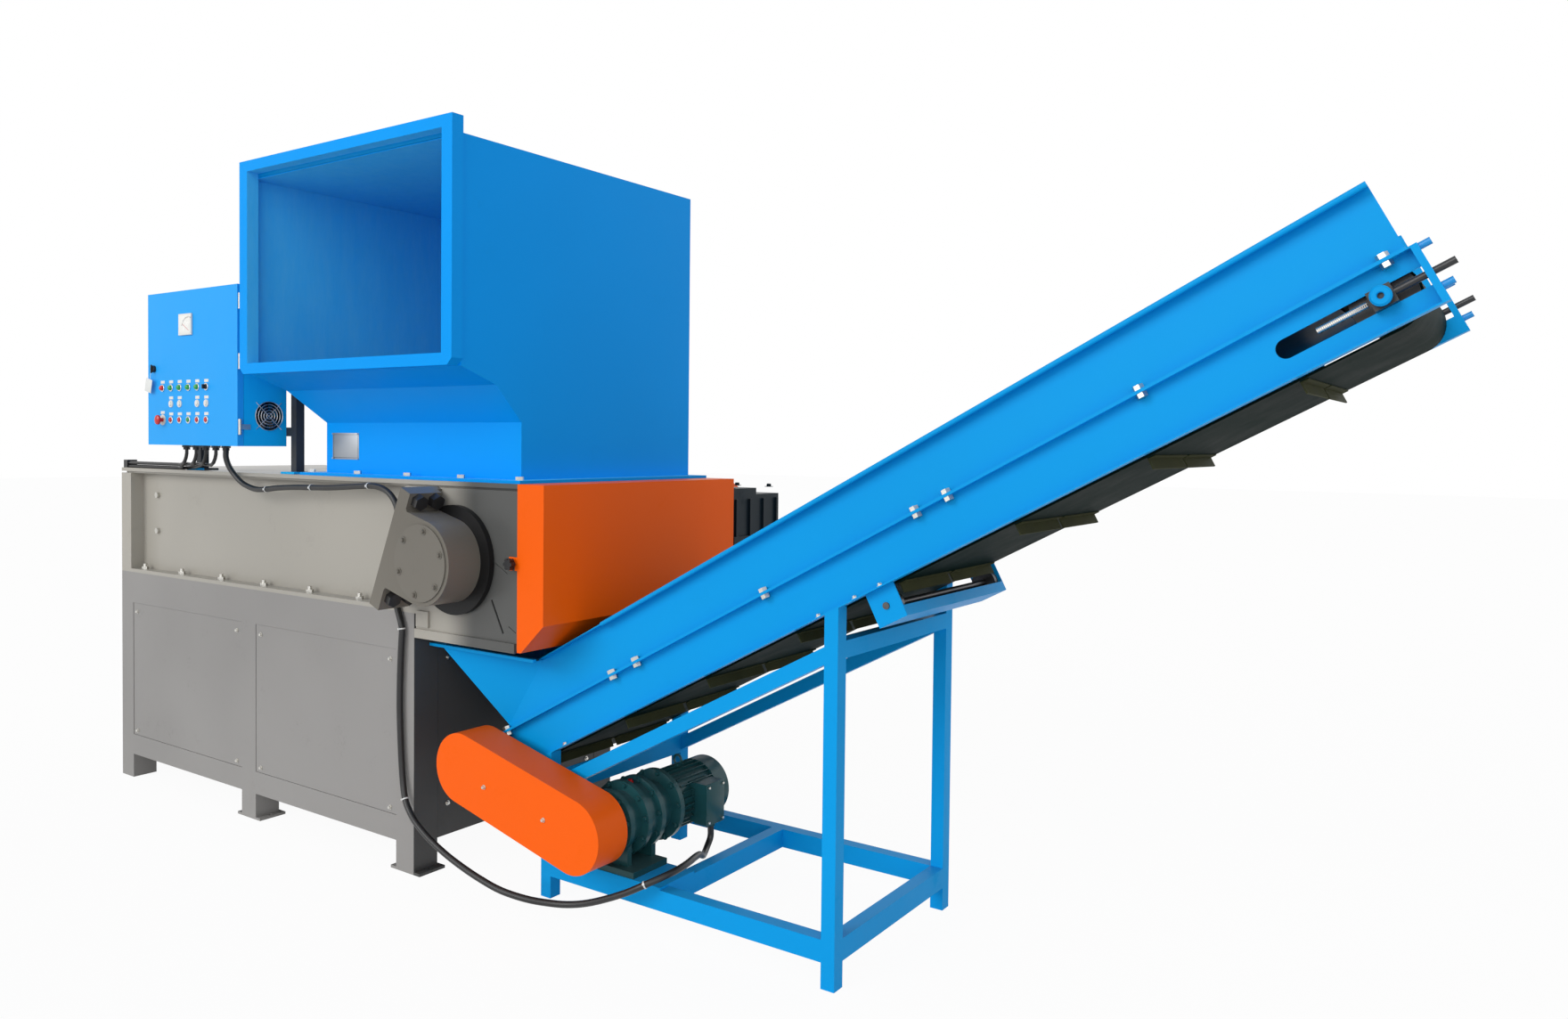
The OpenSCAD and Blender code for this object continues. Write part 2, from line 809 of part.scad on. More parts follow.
// Chamber
module side_outline(x0) {
  polygon([[x0, base_z], [step_x, base_z], [step_x, drop_z], [chamber_x1, drop_z], [chamber_x1, wall_top],
    [x0, wall_top]]);
}
module slot_line(x, z, angle, l, w, d) {
  translate([x, -half_w - cut, z]) rotate([0, -angle, 0]) translate([0, 0, -w / 2]) cube([l, d + cut, w]);
}
module near_wall() {
  difference() {
    union() {
      plate_y(-wall_face, -inner_half) side_outline(chamber_x0);
      plate_y(-half_w, -wall_face) side_outline(cut_x0);
      block(chamber_x0, chamber_x0 + post_len, -half_w, -wall_face, base_z, wall_top);
      block(step_x, chamber_x1 - foot_angle_w, -half_w - foot_angle_w, -half_w, drop_z - foot_angle_drop,
        drop_z - foot_angle_drop + foot_angle_h);
      block(step_x + foot_angle_w, step_x + wall_t + foot_angle_w * 6, -half_w - foot_angle_w, -half_w,
        drop_z + foot_angle_h, drop_z + foot_angle_h + recess);
    }
    rod_y(rotor_x, rotor_z, -half_w - cut, -inner_half + cut, shaft_hole_r);
    rod_y(chamber_x1 - knob_in, knob_z, -half_w - cut, -half_w + stud_len, stud_r + run);
    slot_line(chamber_x1 - band_len, drop_z + band_low, band_tilt + 90, band_slot, groove_h, wall_t);
    slot_line(chamber_x1 - band_len - band_w, drop_z + band_up, -band_tilt, band_len, scribe, scribe);
    slot_line(chamber_x1 - scribe - band_w, drop_z + band_mid, -band_tilt, band_w, scribe, scribe);
  }
}
module side_plate_near() {
  color(machine_gray) near_wall();
}
module side_plate_far() {
  color(machine_gray) {
    mirror([0, 1, 0]) near_wall();
    block(gear_x0, gear_x1, half_w, gear_y1 - rail_w, gear_z0 - shelf_t, gear_z0);
    for (x = [step_x + foot_angle_w, gear_x1 - bracket_t * 3]) plate_x(x, x + bracket_t)
      polygon([[half_w, gear_z0 - shelf_t], [gear_y1 - leg_w, gear_z0 - shelf_t],
        [half_w + foot_angle_w, drop_z + foot_angle_h], [half_w, drop_z + foot_angle_h]]);
  }
}
module press_housing() {
  color(machine_gray) {
    block(chamber_x0, step_x, -half_w, half_w, frame_h, base_z);
    difference() {
      block(chamber_x0, chamber_x1, -half_w, half_w, deck_z - deck_t, deck_z);
      block(hop_left_low + hopper_t + throat_gap, hop_right - hopper_t - throat_gap, -hop_near + hopper_t
        + throat_gap, inner_half - throat_gap, deck_z - deck_t - cut, deck_z + cut);
    }
    both_sides() block(chamber_x0 + groove_inset, chamber_x1 - groove_inset, -half_w + groove_inset,
      -inner_half, wall_top, deck_z - deck_t);
    block(chamber_x0, chamber_x0 + rear_wall_t, -inner_half, inner_half, base_z, deck_z - deck_t);
    block(chamber_x0 + rear_wall_t, counter_tip_x - counter_w, -inner_half, inner_half, floor_z - floor_t,
      floor_z);
    for (x = [chamber_x0 + rear_wall_t, cyl_x1, 0, counter_tip_x - counter_w - knife_seat_w])
      block(x, x + web_t, -inner_half, inner_half, base_z, floor_z - floor_t);
    block(counter_tip_x - counter_w - knife_seat_w + web_t, counter_tip_x - counter_w / 2 - web_t / 2,
      -inner_half, inner_half, base_z, floor_z - floor_t);
    block(hop_right - front_wall_t / 2, hop_right + front_wall_t / 2, -inner_half, inner_half,
      rotor_z + front_wall_rise, deck_z - deck_t);
  }
}

module counter_knives() {
  step = 2 * inner_half / counter_count;
  color(steel) for (i = [0:counter_count - 1])
    block(counter_tip_x - counter_w, counter_tip_x, -inner_half + i * step + fit,
      -inner_half + (i + 1) * step - fit, floor_z - floor_t, floor_z);
}

// Screen and rotor
module radial(y, a) {
  translate([rotor_x, y, rotor_z]) rotate([0, -a, 0]) children();
}
module screen() {
  a = (screen_to - screen_from) / screen_rows;
  w = 2 * screen_half / screen_cols;
  color(steel) difference() {
    translate([rotor_x, 0, rotor_z]) rotate([90, 0, 0]) rotate([0, 0, screen_from])
      rotate_extrude(angle = screen_to - screen_from, $fn = 96)
        translate([screen_r, -screen_half]) square([screen_t, 2 * screen_half]);
    for (i = [0:screen_rows - 1], j = [0:screen_cols - 1])
      radial(-screen_half + (j + 1 / 2) * w, screen_from + (i + 1 / 2) * a) rotate([0, 90, 0])
        translate([0, 0, screen_r - cut]) cylinder(h = screen_t + 2 * cut, r = screen_hole_d / 2);
  }
}
module at_knives() {
  half = rotor_half - knife_side / 2 - 2 * scoop_side;
  for (i = [0:knife_count - 1])
    radial(-half + i * 2 * half / (knife_count - 1), i * knife_turn) children();
}
module knife() {
  reach = sqrt(tip_r * tip_r - knife_t * knife_t);
  translate([tip_r - knife_side, -knife_side / 2, 0]) cube([reach - tip_r + knife_side, knife_side, knife_t]);
}
module rotor_drum() {
  color(machine_gray) difference() {
    union() {
      rod_y(rotor_x, rotor_z, -rotor_half, rotor_half, drum_r, $fn = 96);
      rod_y(rotor_x, rotor_z, -housing_front + cover_t, gear_y1 - shaft_stop, shaft_r);
    }
    at_knives() {
      knife();
      translate([drum_r, -knife_side / 2 - scoop_side, knife_t + scoop_r - scoop_bite]) rotate([-90, 0, 0])
        cylinder(h = knife_side + 2 * scoop_side, r = scoop_r);
    }
  }
}
module rotor_knives() {
  color(steel) at_knives() knife();
}

// Rotor bearings
module on_rotor() {
  translate([rotor_x, 0, rotor_z]) rotate([0, seat_tilt, 0]) children();
}
module bearing_brackets() {
  color(machine_gray) both_sides() on_rotor() {
    block(-seat_back, -seat_back + seat_t, -housing_front, -half_w, -seat_low, seat_len - seat_low);
    for (z = gusset_up) translate([0, 0, z]) linear_extrude(height = gusset_t)
      polygon([[-seat_back, -half_w], [-seat_back - gusset_w, -half_w], [-seat_back, -housing_front + gusset_w]]);
  }
}
// Where a line from p touches the nose circle, on the side given by s
function touch(p, s) = let(a = atan2(p[1], p[0]) - s * acos(nose_r / norm(p))) nose_r * [cos(a), sin(a)];
module housing_2d() {
  x0 = -seat_back + seat_t;
  up = [x0 + foot_rise + foot_t2, fillet_up];
  low = [x0 + foot_rise + foot_t2, -fillet_low];
  translate([x0, -seat_low]) square([foot_t2, seat_len]);
  circle(r = nose_r, $fn = 96);
  polygon([[x0, fillet_up + foot_rise], [x0 + foot_t2, fillet_up + foot_rise], up, touch(up, 1),
    touch(low, -1), low, [x0 + foot_t2, -fillet_low - foot_rise], [x0, -fillet_low - foot_rise]]);
}
module bearing_housings() {
  color(machine_gray) both_sides() on_rotor() plate_y(-housing_front, -housing_face) difference() {
    housing_2d();
    circle(r = bearing_r, $fn = 96);
  }
}
module rotor_bearings() {
  y0 = housing_front - bearing_w - cover_t * 2;
  color(steel) both_sides() difference() {
    rod_y(rotor_x, rotor_z, -y0 - bearing_w, -y0, bearing_r - run, $fn = 96);
    rod_y(rotor_x, rotor_z, -y0 - bearing_w - cut, -y0 + cut, shaft_r + run);
  }
}
module bearing_covers() {
  color(machine_gray) {
    rod_y(rotor_x, rotor_z, -housing_front - cover_t, -housing_front, cover_r, $fn = 96);
    difference() {
      rod_y(rotor_x, rotor_z, housing_front, housing_front + cover_t, cover_r, $fn = 96);
      rod_y(rotor_x, rotor_z, housing_front - cut, housing_front + cover_t + cut, shaft_r + run);
    }
    both_sides() difference() {
      rod_y(rotor_x, rotor_z, -half_w - seal_t, -half_w, seal_r, $fn = 96);
      rod_y(rotor_x, rotor_z, -half_w - seal_t - cut, -half_w + cut, shaft_hole_r);
      on_rotor() block(-seat_back - seat_t, -seat_back + seat_t, -half_w - seal_t - cut, -half_w + cut, -seal_r, seal_r);
    }
  }
}

// Ram and hydraulics
module ram() {
  x0 = ram_front - ram_len;
  color(machine_gray) difference() {
    block(x0, ram_front, -ram_half, ram_half, ram_bottom, ram_bottom + ram_h);
    block(x0 - cut, ram_front - ram_t, -ram_half + ram_t, ram_half - ram_t, ram_bottom + ram_t,
      ram_bottom + ram_h - ram_t);
  }
}
module piston_rods() {
  color(steel) both_sides() {
    rod_x(-rod_y, rod_z, rod_back, ram_front - ram_t, rod_r);
    rod_x(-rod_y, rod_z, rod_back, rod_back + piston_len, cyl_r - cyl_wall - run);
  }
}
module hydraulics() {
  color(dark_iron) {
    both_sides() {
      difference() {
        rod_x(-rod_y, rod_z, cyl_x0, cyl_x1, cyl_r);
        rod_x(-rod_y, rod_z, cyl_x0 + cyl_wall, cyl_x1 - gland_len, cyl_r - cyl_wall);
        rod_x(-rod_y, rod_z, cyl_x1 - gland_len - cut, cyl_x1 + cut, rod_r + run);
      }
      block(chamber_x0 + rear_wall_t, cyl_x0, -rod_y - cyl_r / 2, -rod_y + cyl_r / 2, rod_z - cyl_r, rod_z + cyl_r);
    }
    tank_x0 = frame_x0 + leg_w + tank_in;
    tank_z = low_rail_z + low_rail_h;
    difference() {
      union() {
        block(tank_x0, tank_x0 + tank_len, -tank_half, tank_half, tank_z, tank_z + tank_h);
        rod_z(tank_x0 + tank_foot * 2, -tank_half / 2, tank_z + tank_h, tank_z + tank_h + tank_foot, tank_foot);
      }
      block(tank_x0 + tube_t, tank_x0 + tank_len - tube_t, -tank_half + tube_t, tank_half - tube_t, tank_z + tube_t,
        tank_z + tank_h - tube_t);
      rod_z(tank_x0 + tank_foot * 2, -tank_half / 2, tank_z + tank_h / 2, tank_z + tank_h + tank_foot + cut,
        tank_foot - tube_t);
    }
    for (x = [tank_x0, tank_x0 + tank_len - tank_foot])
      block(x, x + tank_foot, -half_w + rail_w, half_w - rail_w, tank_z - tank_foot, tank_z);
    rod_z(tank_x0 + tank_len / 2, 0, tank_z + tank_h, tank_z + tank_h + pump_h, pump_r);
    rod_z(tank_x0 + tank_len / 2, 0, tank_z + tank_h, tank_z + tank_h + tank_foot / 2, pump_r + tank_foot / 2);
  }
}

// Hopper
module hopper_yz(g, over) {
  polygon([[-mouth_in_y - over, mouth_z0 + g], [-knee_y + g / 2, knee_z + g], [-hop_near + g, throat_z + g / 2],
    [-hop_near + g, deck_z - over], [hop_back - g, deck_z - over], [hop_back - g, hop_top - g],
    [-mouth_in_y - over, hop_top - g]]);
}
module hopper_xz(g, over) {
  polygon([[hop_left_top + g, hop_top], [hop_left_top + g, knee_z], [hop_left_low + g, throat_z],
    [hop_left_low + g, deck_z - over], [hop_right - g, deck_z - over], [hop_right - g, hop_top]]);
}
module hopper_form(g, over) {
  intersection() {
    plate_x(mouth_x0 - mouth_b, mouth_x1 + mouth_b) hopper_yz(g, over);
    plate_y(-mouth_y - mouth_b, hop_back + mouth_b) hopper_xz(g, over);
  }
}
module mouth_frame() {
  plate_y(-mouth_y, -mouth_in_y) difference() {
    polygon([[mouth_x0 + mouth_chamfer, mouth_z0], [mouth_x1 - mouth_chamfer, mouth_z0],
      [mouth_x1, mouth_z0 + mouth_chamfer], [mouth_x1, mouth_z1], [mouth_x0, mouth_z1],
      [mouth_x0, mouth_z0 + mouth_chamfer]]);
    translate([mouth_x0 + mouth_b, mouth_z0 + mouth_bz])
      square([mouth_x1 - mouth_x0 - 2 * mouth_b, mouth_z1 - mouth_z0 - 2 * mouth_bz]);
  }
}
module hopper() {
  color(shell_blue) {
    difference() {
      hopper_form(0, 0);
      hopper_form(hopper_t, cut);
    }
    mouth_frame();
    difference() {
      block(hop_left_low - hop_flange_w, hop_right + hop_flange_w, -hop_near - hop_flange_w, half_w, deck_z,
        deck_z + hop_flange_t);
      block(hop_left_low + hopper_t, hop_right - hopper_t, -hop_near + hopper_t, hop_back - hopper_t,
        deck_z - cut, deck_z + hop_flange_t + cut);
    }
  }
}

// Front cover with its tabs, and the star knobs that hold it
module cover_2d() {
  x1 = chamber_x1 + cover_len;
  polygon([[chamber_x1, deck_z], [x1, deck_z], [x1, cover_flat_z], [chamber_x1 + cover_lip, cover_bottom],
    [chamber_x1, cover_bottom]]);
}
module cover_hollow_2d() {
  x1 = chamber_x1 + cover_len - cover_sheet;
  rise = cover_sheet * cover_lean;
  polygon([[chamber_x1 - cut, deck_z - cover_sheet], [x1, deck_z - cover_sheet],
    [x1, cover_flat_z - cover_sheet * cover_slope + rise],
    [chamber_x1 + cover_lip - (rise + cut) / cover_slope, cover_bottom - cut],
    [chamber_x1 - cut, cover_bottom - cut]]);
}
module front_cover() {
  color(guard_orange) {
    difference() {
      plate_y(-cover_half, cover_half) cover_2d();
      plate_y(-cover_half + cover_sheet, cover_half - cover_sheet) cover_hollow_2d();
    }
    both_sides() difference() {
      block(chamber_x1 - tab_reach, chamber_x1 + tab_h, -cover_half, -cover_half + cover_sheet,
        knob_z - tab_h / 2, knob_z + tab_h / 2);
      rod_y(chamber_x1 - knob_in, knob_z, -cover_half - cut, -half_w, stud_r + fit);
      block(chamber_x1 - knob_in - stud_r - fit, chamber_x1 - knob_in + stud_r + fit, -cover_half - cut,
        -half_w, knob_z - tab_h, knob_z);
    }
  }
}
module star_knob() {
  y0 = cover_half + fit;
  x = chamber_x1 - knob_in;
  rod_y(x, knob_z, -y0 - knob_neck, -half_w + stud_len - 2 * cut, stud_r);
  rod_y(x, knob_z, -y0 - knob_neck, -y0, knob_neck_r);
  rod_y(x, knob_z, -y0 - knob_neck - knob_t, -y0 - knob_neck, knob_r - knob_lobe_r);
  for (i = [0:knob_lobes - 1]) translate([x, 0, knob_z]) rotate([0, 360 * i / knob_lobes, 0])
    rod_y(knob_r - knob_lobe_r, 0, -y0 - knob_neck - knob_t, -y0 - knob_neck, knob_lobe_r);
}
module star_knob_near() {
  color(rubber_black) star_knob();
}
module star_knob_far() {
  color(rubber_black) mirror([0, 1, 0]) star_knob();
}

// Far side drive
module rotor_gearbox() {
  color(dark_iron) difference() {
    union() {
      block(gear_x0, gear_x1, gear_y0, gear_y1, gear_z0, gear_z1);
      block(gear_x0 - gear_rib_h, gear_x1 + gear_rib_h, gear_y0, gear_y1, rotor_z - gear_flange_t, rotor_z + gear_flange_t);
      block(gear_x0 + gear_flange_t, gear_x1, gear_y0, gear_y0 + (gear_y1 - gear_y0) / 2, gear_z1, gear_lid_z);
      for (i = [0:3]) {
        y = gear_y0 + gear_rib_t + i * (gear_y1 - gear_y0 - 3 * gear_rib_t) / 3;
        block(gear_x0 - gear_rib_h, gear_x1 + gear_rib_h, y, y + gear_rib_t, gear_z0, gear_z1 - gear_flange_t);
      }
      rod_y(gear_in_x, gear_in_z, gear_y1, pulley_y0 - guard_gap, gear_boss_r);
    }
    rod_y(rotor_x, rotor_z, gear_y0 - cut, gear_y1 + cut, shaft_r + run);
    rod_y(gear_in_x, gear_in_z, gear_y1 - gear_boss_r, pulley_y0, gear_in_r + run);
  }
}
module main_motor() {
  y1 = motor_y0 + motor_len;
  color(drive_teal) difference() {
    union() {
      rod_y(motor_x, motor_z, motor_y0, motor_y0 + cowl_len, motor_r + fin_h, $fn = 96);
      rod_y(motor_x, motor_z, motor_y0 + cowl_len, y1, motor_r - fin_h, $fn = 96);
      rod_y(motor_x, motor_z, y1 - motor_foot_t, y1, motor_r, $fn = 96);
      rod_y(motor_x, motor_z, y1, pulley_y0 - guard_gap, gear_boss_r);
      for (i = [0:motor_fins - 1]) translate([motor_x, 0, motor_z]) rotate([0, i * 360 / motor_fins, 0])
        block(motor_r - 2 * fin_h, motor_r, motor_y0 + cowl_len - cut, y1 - motor_foot_t + cut, -fin_t / 2, fin_t / 2);
      block(motor_x - motor_foot_w / 2, motor_x + motor_foot_w / 2, motor_y0 + 2 * cowl_len, y1 - motor_foot_t,
        shelf_z, shelf_z + motor_foot_t);
      for (s = [-1, 1]) block(motor_x + s * motor_foot_w / 3 - motor_foot_t / 2, motor_x + s * motor_foot_w / 3
        + motor_foot_t / 2, motor_y0 + 2 * cowl_len, y1 - motor_foot_t, shelf_z, motor_z - motor_r / 2);
    }
    rod_y(motor_x, motor_z, y1 - motor_foot_t, pulley_y0, motor_shaft_r + run);
  }
}
module grooved_pulley(x, z, r, shaft, y0) {
  edge = (pulley_w - (belt_count - 1) * groove_pitch - groove_w) / 2;
  grooves = [for (i = [0:belt_count - 1]) let(y = edge + i * groove_pitch)
    each [[r, y], [r - groove_d, y], [r - groove_d, y + groove_w], [r, y + groove_w]]];
  turned_y(x, pulley_y0, z, $fn = 96) polygon(concat([[0, 0], [r, 0]], grooves, [[r, pulley_w], [0, pulley_w]]));
  rod_y(x, z, y0, pulley_y0, shaft);
}
module gearbox_pulley() {
  color(dark_iron) grooved_pulley(gear_in_x, gear_in_z, gear_pulley_r, gear_in_r, gear_y1 - gear_boss_r + cut);
}
module motor_pulley() {
  color(dark_iron) grooved_pulley(motor_x, motor_z, motor_pulley_r, motor_shaft_r,
    motor_y0 + motor_len - motor_foot_t + cut);
}
gear_c = [gear_in_x, gear_in_z];
motor_c = [motor_x, motor_z];
module v_belts() {
  edge = (pulley_w - (belt_count - 1) * groove_pitch - groove_w) / 2;
  inner = fit - groove_d;
  color(rubber_black) for (i = [0:belt_count - 1]) {
    y = pulley_y0 + edge + i * groove_pitch + (groove_w - vbelt_w) / 2;
    plate_y(y, y + vbelt_w) difference() {
      loop_2d(gear_c, gear_pulley_r + inner + vbelt_t, motor_c, motor_pulley_r + inner + vbelt_t);
      loop_2d(gear_c, gear_pulley_r + inner, motor_c, motor_pulley_r + inner);
    }
  }
}
module belt_guard() {
  y0 = pulley_y0 - guard_gap;
  y1 = pulley_y0 + pulley_w + guard_gap;
  grow = guard_gap;
  color(guard_orange) difference() {
    plate_y(y0, y1) loop_2d(gear_c, gear_pulley_r + grow + guard_t, motor_c, motor_pulley_r + grow + guard_t);
    plate_y(y0 + guard_t, y1 - guard_t) loop_2d(gear_c, gear_pulley_r + grow, motor_c, motor_pulley_r + grow);
    rod_y(gear_in_x, gear_in_z, y0 - cut, y0 + guard_t + cut, gear_in_r + guard_t);
    rod_y(motor_x, motor_z, y0 - cut, y0 + guard_t + cut, motor_shaft_r + guard_t);
  }
}

// Control cabinet
module hinge_knuckles() {
  for (z = hinge_z) {
    rod_z(hinge_x, -hinge_y, z, z + hinge_len, hinge_r);
    rod_z(hinge_x, -hinge_y, z - hinge_len, z + 2 * hinge_len, hinge_pin_r);
    block(cab_x1, cab_x1 + leaf_t, -hinge_y, -cab_front + leaf_w, z, z + hinge_len);
  }
}
module cabinet_posts() {
  for (x = post_x) {
    block(x, x + post_w, -cab_back, -cab_back + post_w, deck_z, deck_z + post_h);
    block(x - (post_foot - post_w) / 2, x + (post_foot + post_w) / 2, -cab_back - (post_foot - post_w) / 2,
      -cab_back + (post_foot + post_w) / 2, deck_z, deck_z + post_foot_t);
  }
  for (z = post_rail_z) block(post_x[0] + post_w, post_x[1], -cab_back, -cab_back + post_w, cab_z + z,
    cab_z + z + post_w);
}
module cabinet_box() {
  color(shell_blue) {
    difference() {
      block(cab_x0, cab_x1, -cab_front, -cab_back, cab_z, cab_top);
      block(cab_x0 + cab_t, cab_x1 - cab_t, -cab_front - cut, -cab_back - cab_t, cab_z + cab_t, cab_top - cab_t);
      rod_x(-fan_y, fan_z, cab_x1 - cab_t - cut, cab_x1 + cut, fan_bore_r);
    }
    block(cab_x0 + back_plate_in * 2, cab_x1 - fan_t - back_plate_in * 2, -cab_back - back_plate_in,
      -cab_back - cab_t, cab_z + back_plate_in * 2, cab_top - back_plate_in * 2);
    hinge_knuckles();
  }
  color(machine_gray) cabinet_posts();
}
// Places of the controls, as column and row
lamps = [[0, 0], [1, 0], [2, 0], [3, 0], [4, 0]];
buttons = [[1, 1], [2, 1], [4, 1], [5, 1], [1, 2], [2, 2], [3, 2], [4, 2], [5, 2]];
selector = [5, 0];
stop = [0, 2];
fittings = concat(lamps, buttons, [selector, stop]);
function ctrl_x(c) = ctrl_x0 + c[0] * ctrl_pitch;
module cabinet_door() {
  x1 = cab_x1 - cut;
  color(shell_blue) {
    difference() {
      block(cab_x0, x1, -door_front, -door_back, cab_z, cab_top);
      block(cab_x0 + cab_t, x1 - cab_t, -door_front + cab_t, -door_back + cut, cab_z + cab_t, cab_top - cab_t);
      for (c = fittings) rod_y(ctrl_x(c), ctrl_z[c[1]], -door_front - cut, -door_front + cab_t + cut, barrel_r);
      rod_y(lock_x, lock_z, -door_front - cut, -door_front + cab_t + cut, lock_stem_r + run);
    }
    for (z = hinge_z, zz = [z - hinge_len, z + hinge_len + fit]) {
      difference() {
        union() {
          rod_z(hinge_x, -hinge_y, zz, zz + hinge_len - fit, hinge_r);
          block(x1, hinge_x, -hinge_y - leaf_t / 2, -hinge_y + leaf_t / 2, zz, zz + hinge_len - fit);
        }
        rod_z(hinge_x, -hinge_y, zz - cut, zz + hinge_len + cut, hinge_pin_r + run);
      }
    }
  }
}
module door_lock() {
  y = door_front + fit;
  color(dark_iron) {
    rod_y(lock_x, lock_z, -y - lock_wing_w * 2, -y, lock_r);
    rod_y(lock_x, lock_z, -y, -y + lock_len, lock_stem_r);
    block(lock_x - lock_wing_w / 2, lock_x + lock_wing_w / 2, -y - lock_wing_w * 3, -y - lock_wing_w * 2,
      lock_z - lock_wing_len / 2, lock_z + lock_wing_len / 2);
    block(lock_x - lock_wing_len, lock_x, -y + lock_len - lock_wing_w, -y + lock_len, lock_z - lock_cam_w / 2,
      lock_z + lock_cam_w / 2);
  }
}
module fitting(c, bore) {
  difference() {
    union() {
      rod_y(ctrl_x(c), ctrl_z[c[1]], -door_front - bezel_t, -door_front, bezel_r);
      rod_y(ctrl_x(c), ctrl_z[c[1]], -door_front, -door_front + barrel_len, barrel_r);
    }
    rod_y(ctrl_x(c), ctrl_z[c[1]], -door_front - bezel_t - cut, -door_front + barrel_len - bezel_t, bore);
  }
}
module door_fittings() {
  color(steel) {
    for (c = buttons) fitting(c, button_r + fit);
    fitting(selector, button_r + run);
    fitting(stop, stop_neck_r + fit);
  }
  color("green") for (c = lamps) {
    rod_y(ctrl_x(c), ctrl_z[c[1]], -door_front - bezel_t, -door_front, bezel_r);
    rod_y(ctrl_x(c), ctrl_z[c[1]], -door_front, -door_front + barrel_len, barrel_r);
    turned_y(ctrl_x(c), -door_front - bezel_t - dome_r, ctrl_z[c[1]]) intersection() {
      translate([0, dome_r]) circle(r = dome_r);
      square([dome_r, dome_r]);
    }
  }
  color("white") {
    block(meter_x - meter_w / 2, meter_x + meter_w / 2, -door_front - meter_t, -door_front, meter_z - meter_h / 2,
      meter_z + meter_h / 2);
    for (c = fittings) block(ctrl_x(c) - label_w / 2, ctrl_x(c) + label_w / 2, -door_front - label_t, -door_front,
      ctrl_z[c[1]] + label_up - label_h / 2, ctrl_z[c[1]] + label_up + label_h / 2);
  }
}
module push_button(i) {
  c = buttons[i];
  color(i < 4 ? "white" : "red")
    rod_y(ctrl_x(c), ctrl_z[c[1]], -door_front - button_out, -door_front - button_out + button_len, button_r);
}
module push_button_1() { push_button(0); }
module push_button_2() { push_button(1); }
module push_button_3() { push_button(2); }
module push_button_4() { push_button(3); }
module push_button_5() { push_button(4); }
module push_button_6() { push_button(5); }
module push_button_7() { push_button(6); }
module push_button_8() { push_button(7); }
module push_button_9() { push_button(8); }
module emergency_stop() {
  x = ctrl_x(stop);
  z = ctrl_z[stop[1]];
  y = -door_front - stop_out;
  color("red") {
    rod_y(x, z, y, y + stop_t, stop_r);
    rod_y(x, z, y, y + stop_out + barrel_len / 2, stop_neck_r);
  }
}
module selector_switch() {
  x = ctrl_x(selector);
  z = ctrl_z[selector[1]];
  y = -door_front - button_out;
  color(rubber_black) {
    rod_y(x, z, y + bezel_t, y + button_len, button_r);
    block(x - bezel_t / 2, x + bezel_t / 2, y - bezel_t, y + bezel_t, z - button_r, z + button_r);
  }
}
module fan_frame() {
  x1 = cab_x1 - cab_t;
  h = fan_side / 2;
  ring_step = fan_bore_r / fan_rings;
  color(rubber_black) {
    difference() {
      block(x1 - fan_t, x1, -fan_y - h, -fan_y + h, fan_z - h, fan_z + h);
      rod_x(-fan_y, fan_z, x1 - fan_t - cut, x1 + cut, fan_bore_r);
    }
    rod_x(-fan_y, fan_z, x1 - fan_t, x1 - fan_t + bezel_t, fan_hub_r);
    rod_x(-fan_y, fan_z, x1 - fan_t, x1 - bezel_t, fan_pin_r);
    for (a = [0:3]) translate([x1 - fan_t, -fan_y, fan_z]) rotate([a * 90 + 45, 0, 0])
      block(0, bezel_t / 2, fan_hub_r - bezel_t, fan_bore_r + bezel_t, -bezel_t / 2, bezel_t / 2);
  }
  color(zinc) translate([cab_x1, -fan_y, fan_z]) {
    for (i = [1:fan_rings]) translate([3 * fan_wire_r, 0, 0]) rotate([0, 90, 0]) rotate_extrude()
      translate([i * ring_step, 0]) circle(r = fan_wire_r, $fn = 16);
    for (a = [0:3]) rotate([a * 90 + 45, 0, 0]) rod_y(1.2 * fan_wire_r, 0, 0, h * 1.24, fan_wire_r);
  }
}
module fan_impeller() {
  x1 = cab_x1 - cab_t;
  color(rubber_black) difference() {
    union() {
      rod_x(-fan_y, fan_z, x1 - fan_t + bezel_t + fit, x1 - bezel_t, fan_hub_r);
      for (i = [0:fan_blades - 1]) translate([x1 - fan_t / 2, -fan_y, fan_z]) rotate([i * 360 / fan_blades, 0, 0])
        translate([0, 0, fan_hub_r - bezel_t]) rotate([0, 0, fan_blade_tilt])
          block(-fan_blade_t / 2, fan_blade_t / 2, -fan_t / 3, fan_t / 3, 0, fan_bore_r - fan_hub_r + bezel_t / 2);
    }
    rod_x(-fan_y, fan_z, x1 - fan_t, x1, fan_pin_r + run);
  }
}
module gland(i) {
  x = gland_x0 + i * gland_pitch;
  hex_z(x, -gland_y, cab_z - gland_h / 2, cab_z, 2 * gland_r);
  rod_z(x, -gland_y, cab_z - gland_h, cab_z - gland_h / 2, gland_r - 2 * cut);
}
function conduit_route(i) = let(x = gland_x0 + i * gland_pitch,
  turn = [bundle_turn_x + x / 2, bundle_y, deck_z + 2 * conduit_r], off = [0, conduit_side[i], conduit_lift[i]])
  concat([for (p = conduit_drop) [x, -gland_y, cab_z - gland_h] + p], [turn + off],
    [for (p = bundle_x) [p, bundle_y + conduit_r * 4, deck_z + conduit_r] + off]);
module conduits() {
  color(rubber_black) {
    for (i = [0:gland_count - 1]) gland(i);
    for (i = [0:gland_count - 2]) swept(conduit_route(i), conduit_r, 8, [1, 0, 0]);
    block(chamber_x0 + end_box_in, chamber_x0 + end_box_in + end_box_len, -half_w + end_box_in,
      -half_w + post_w + 2 * conduit_r, deck_z, deck_z + post_w);
  }
}
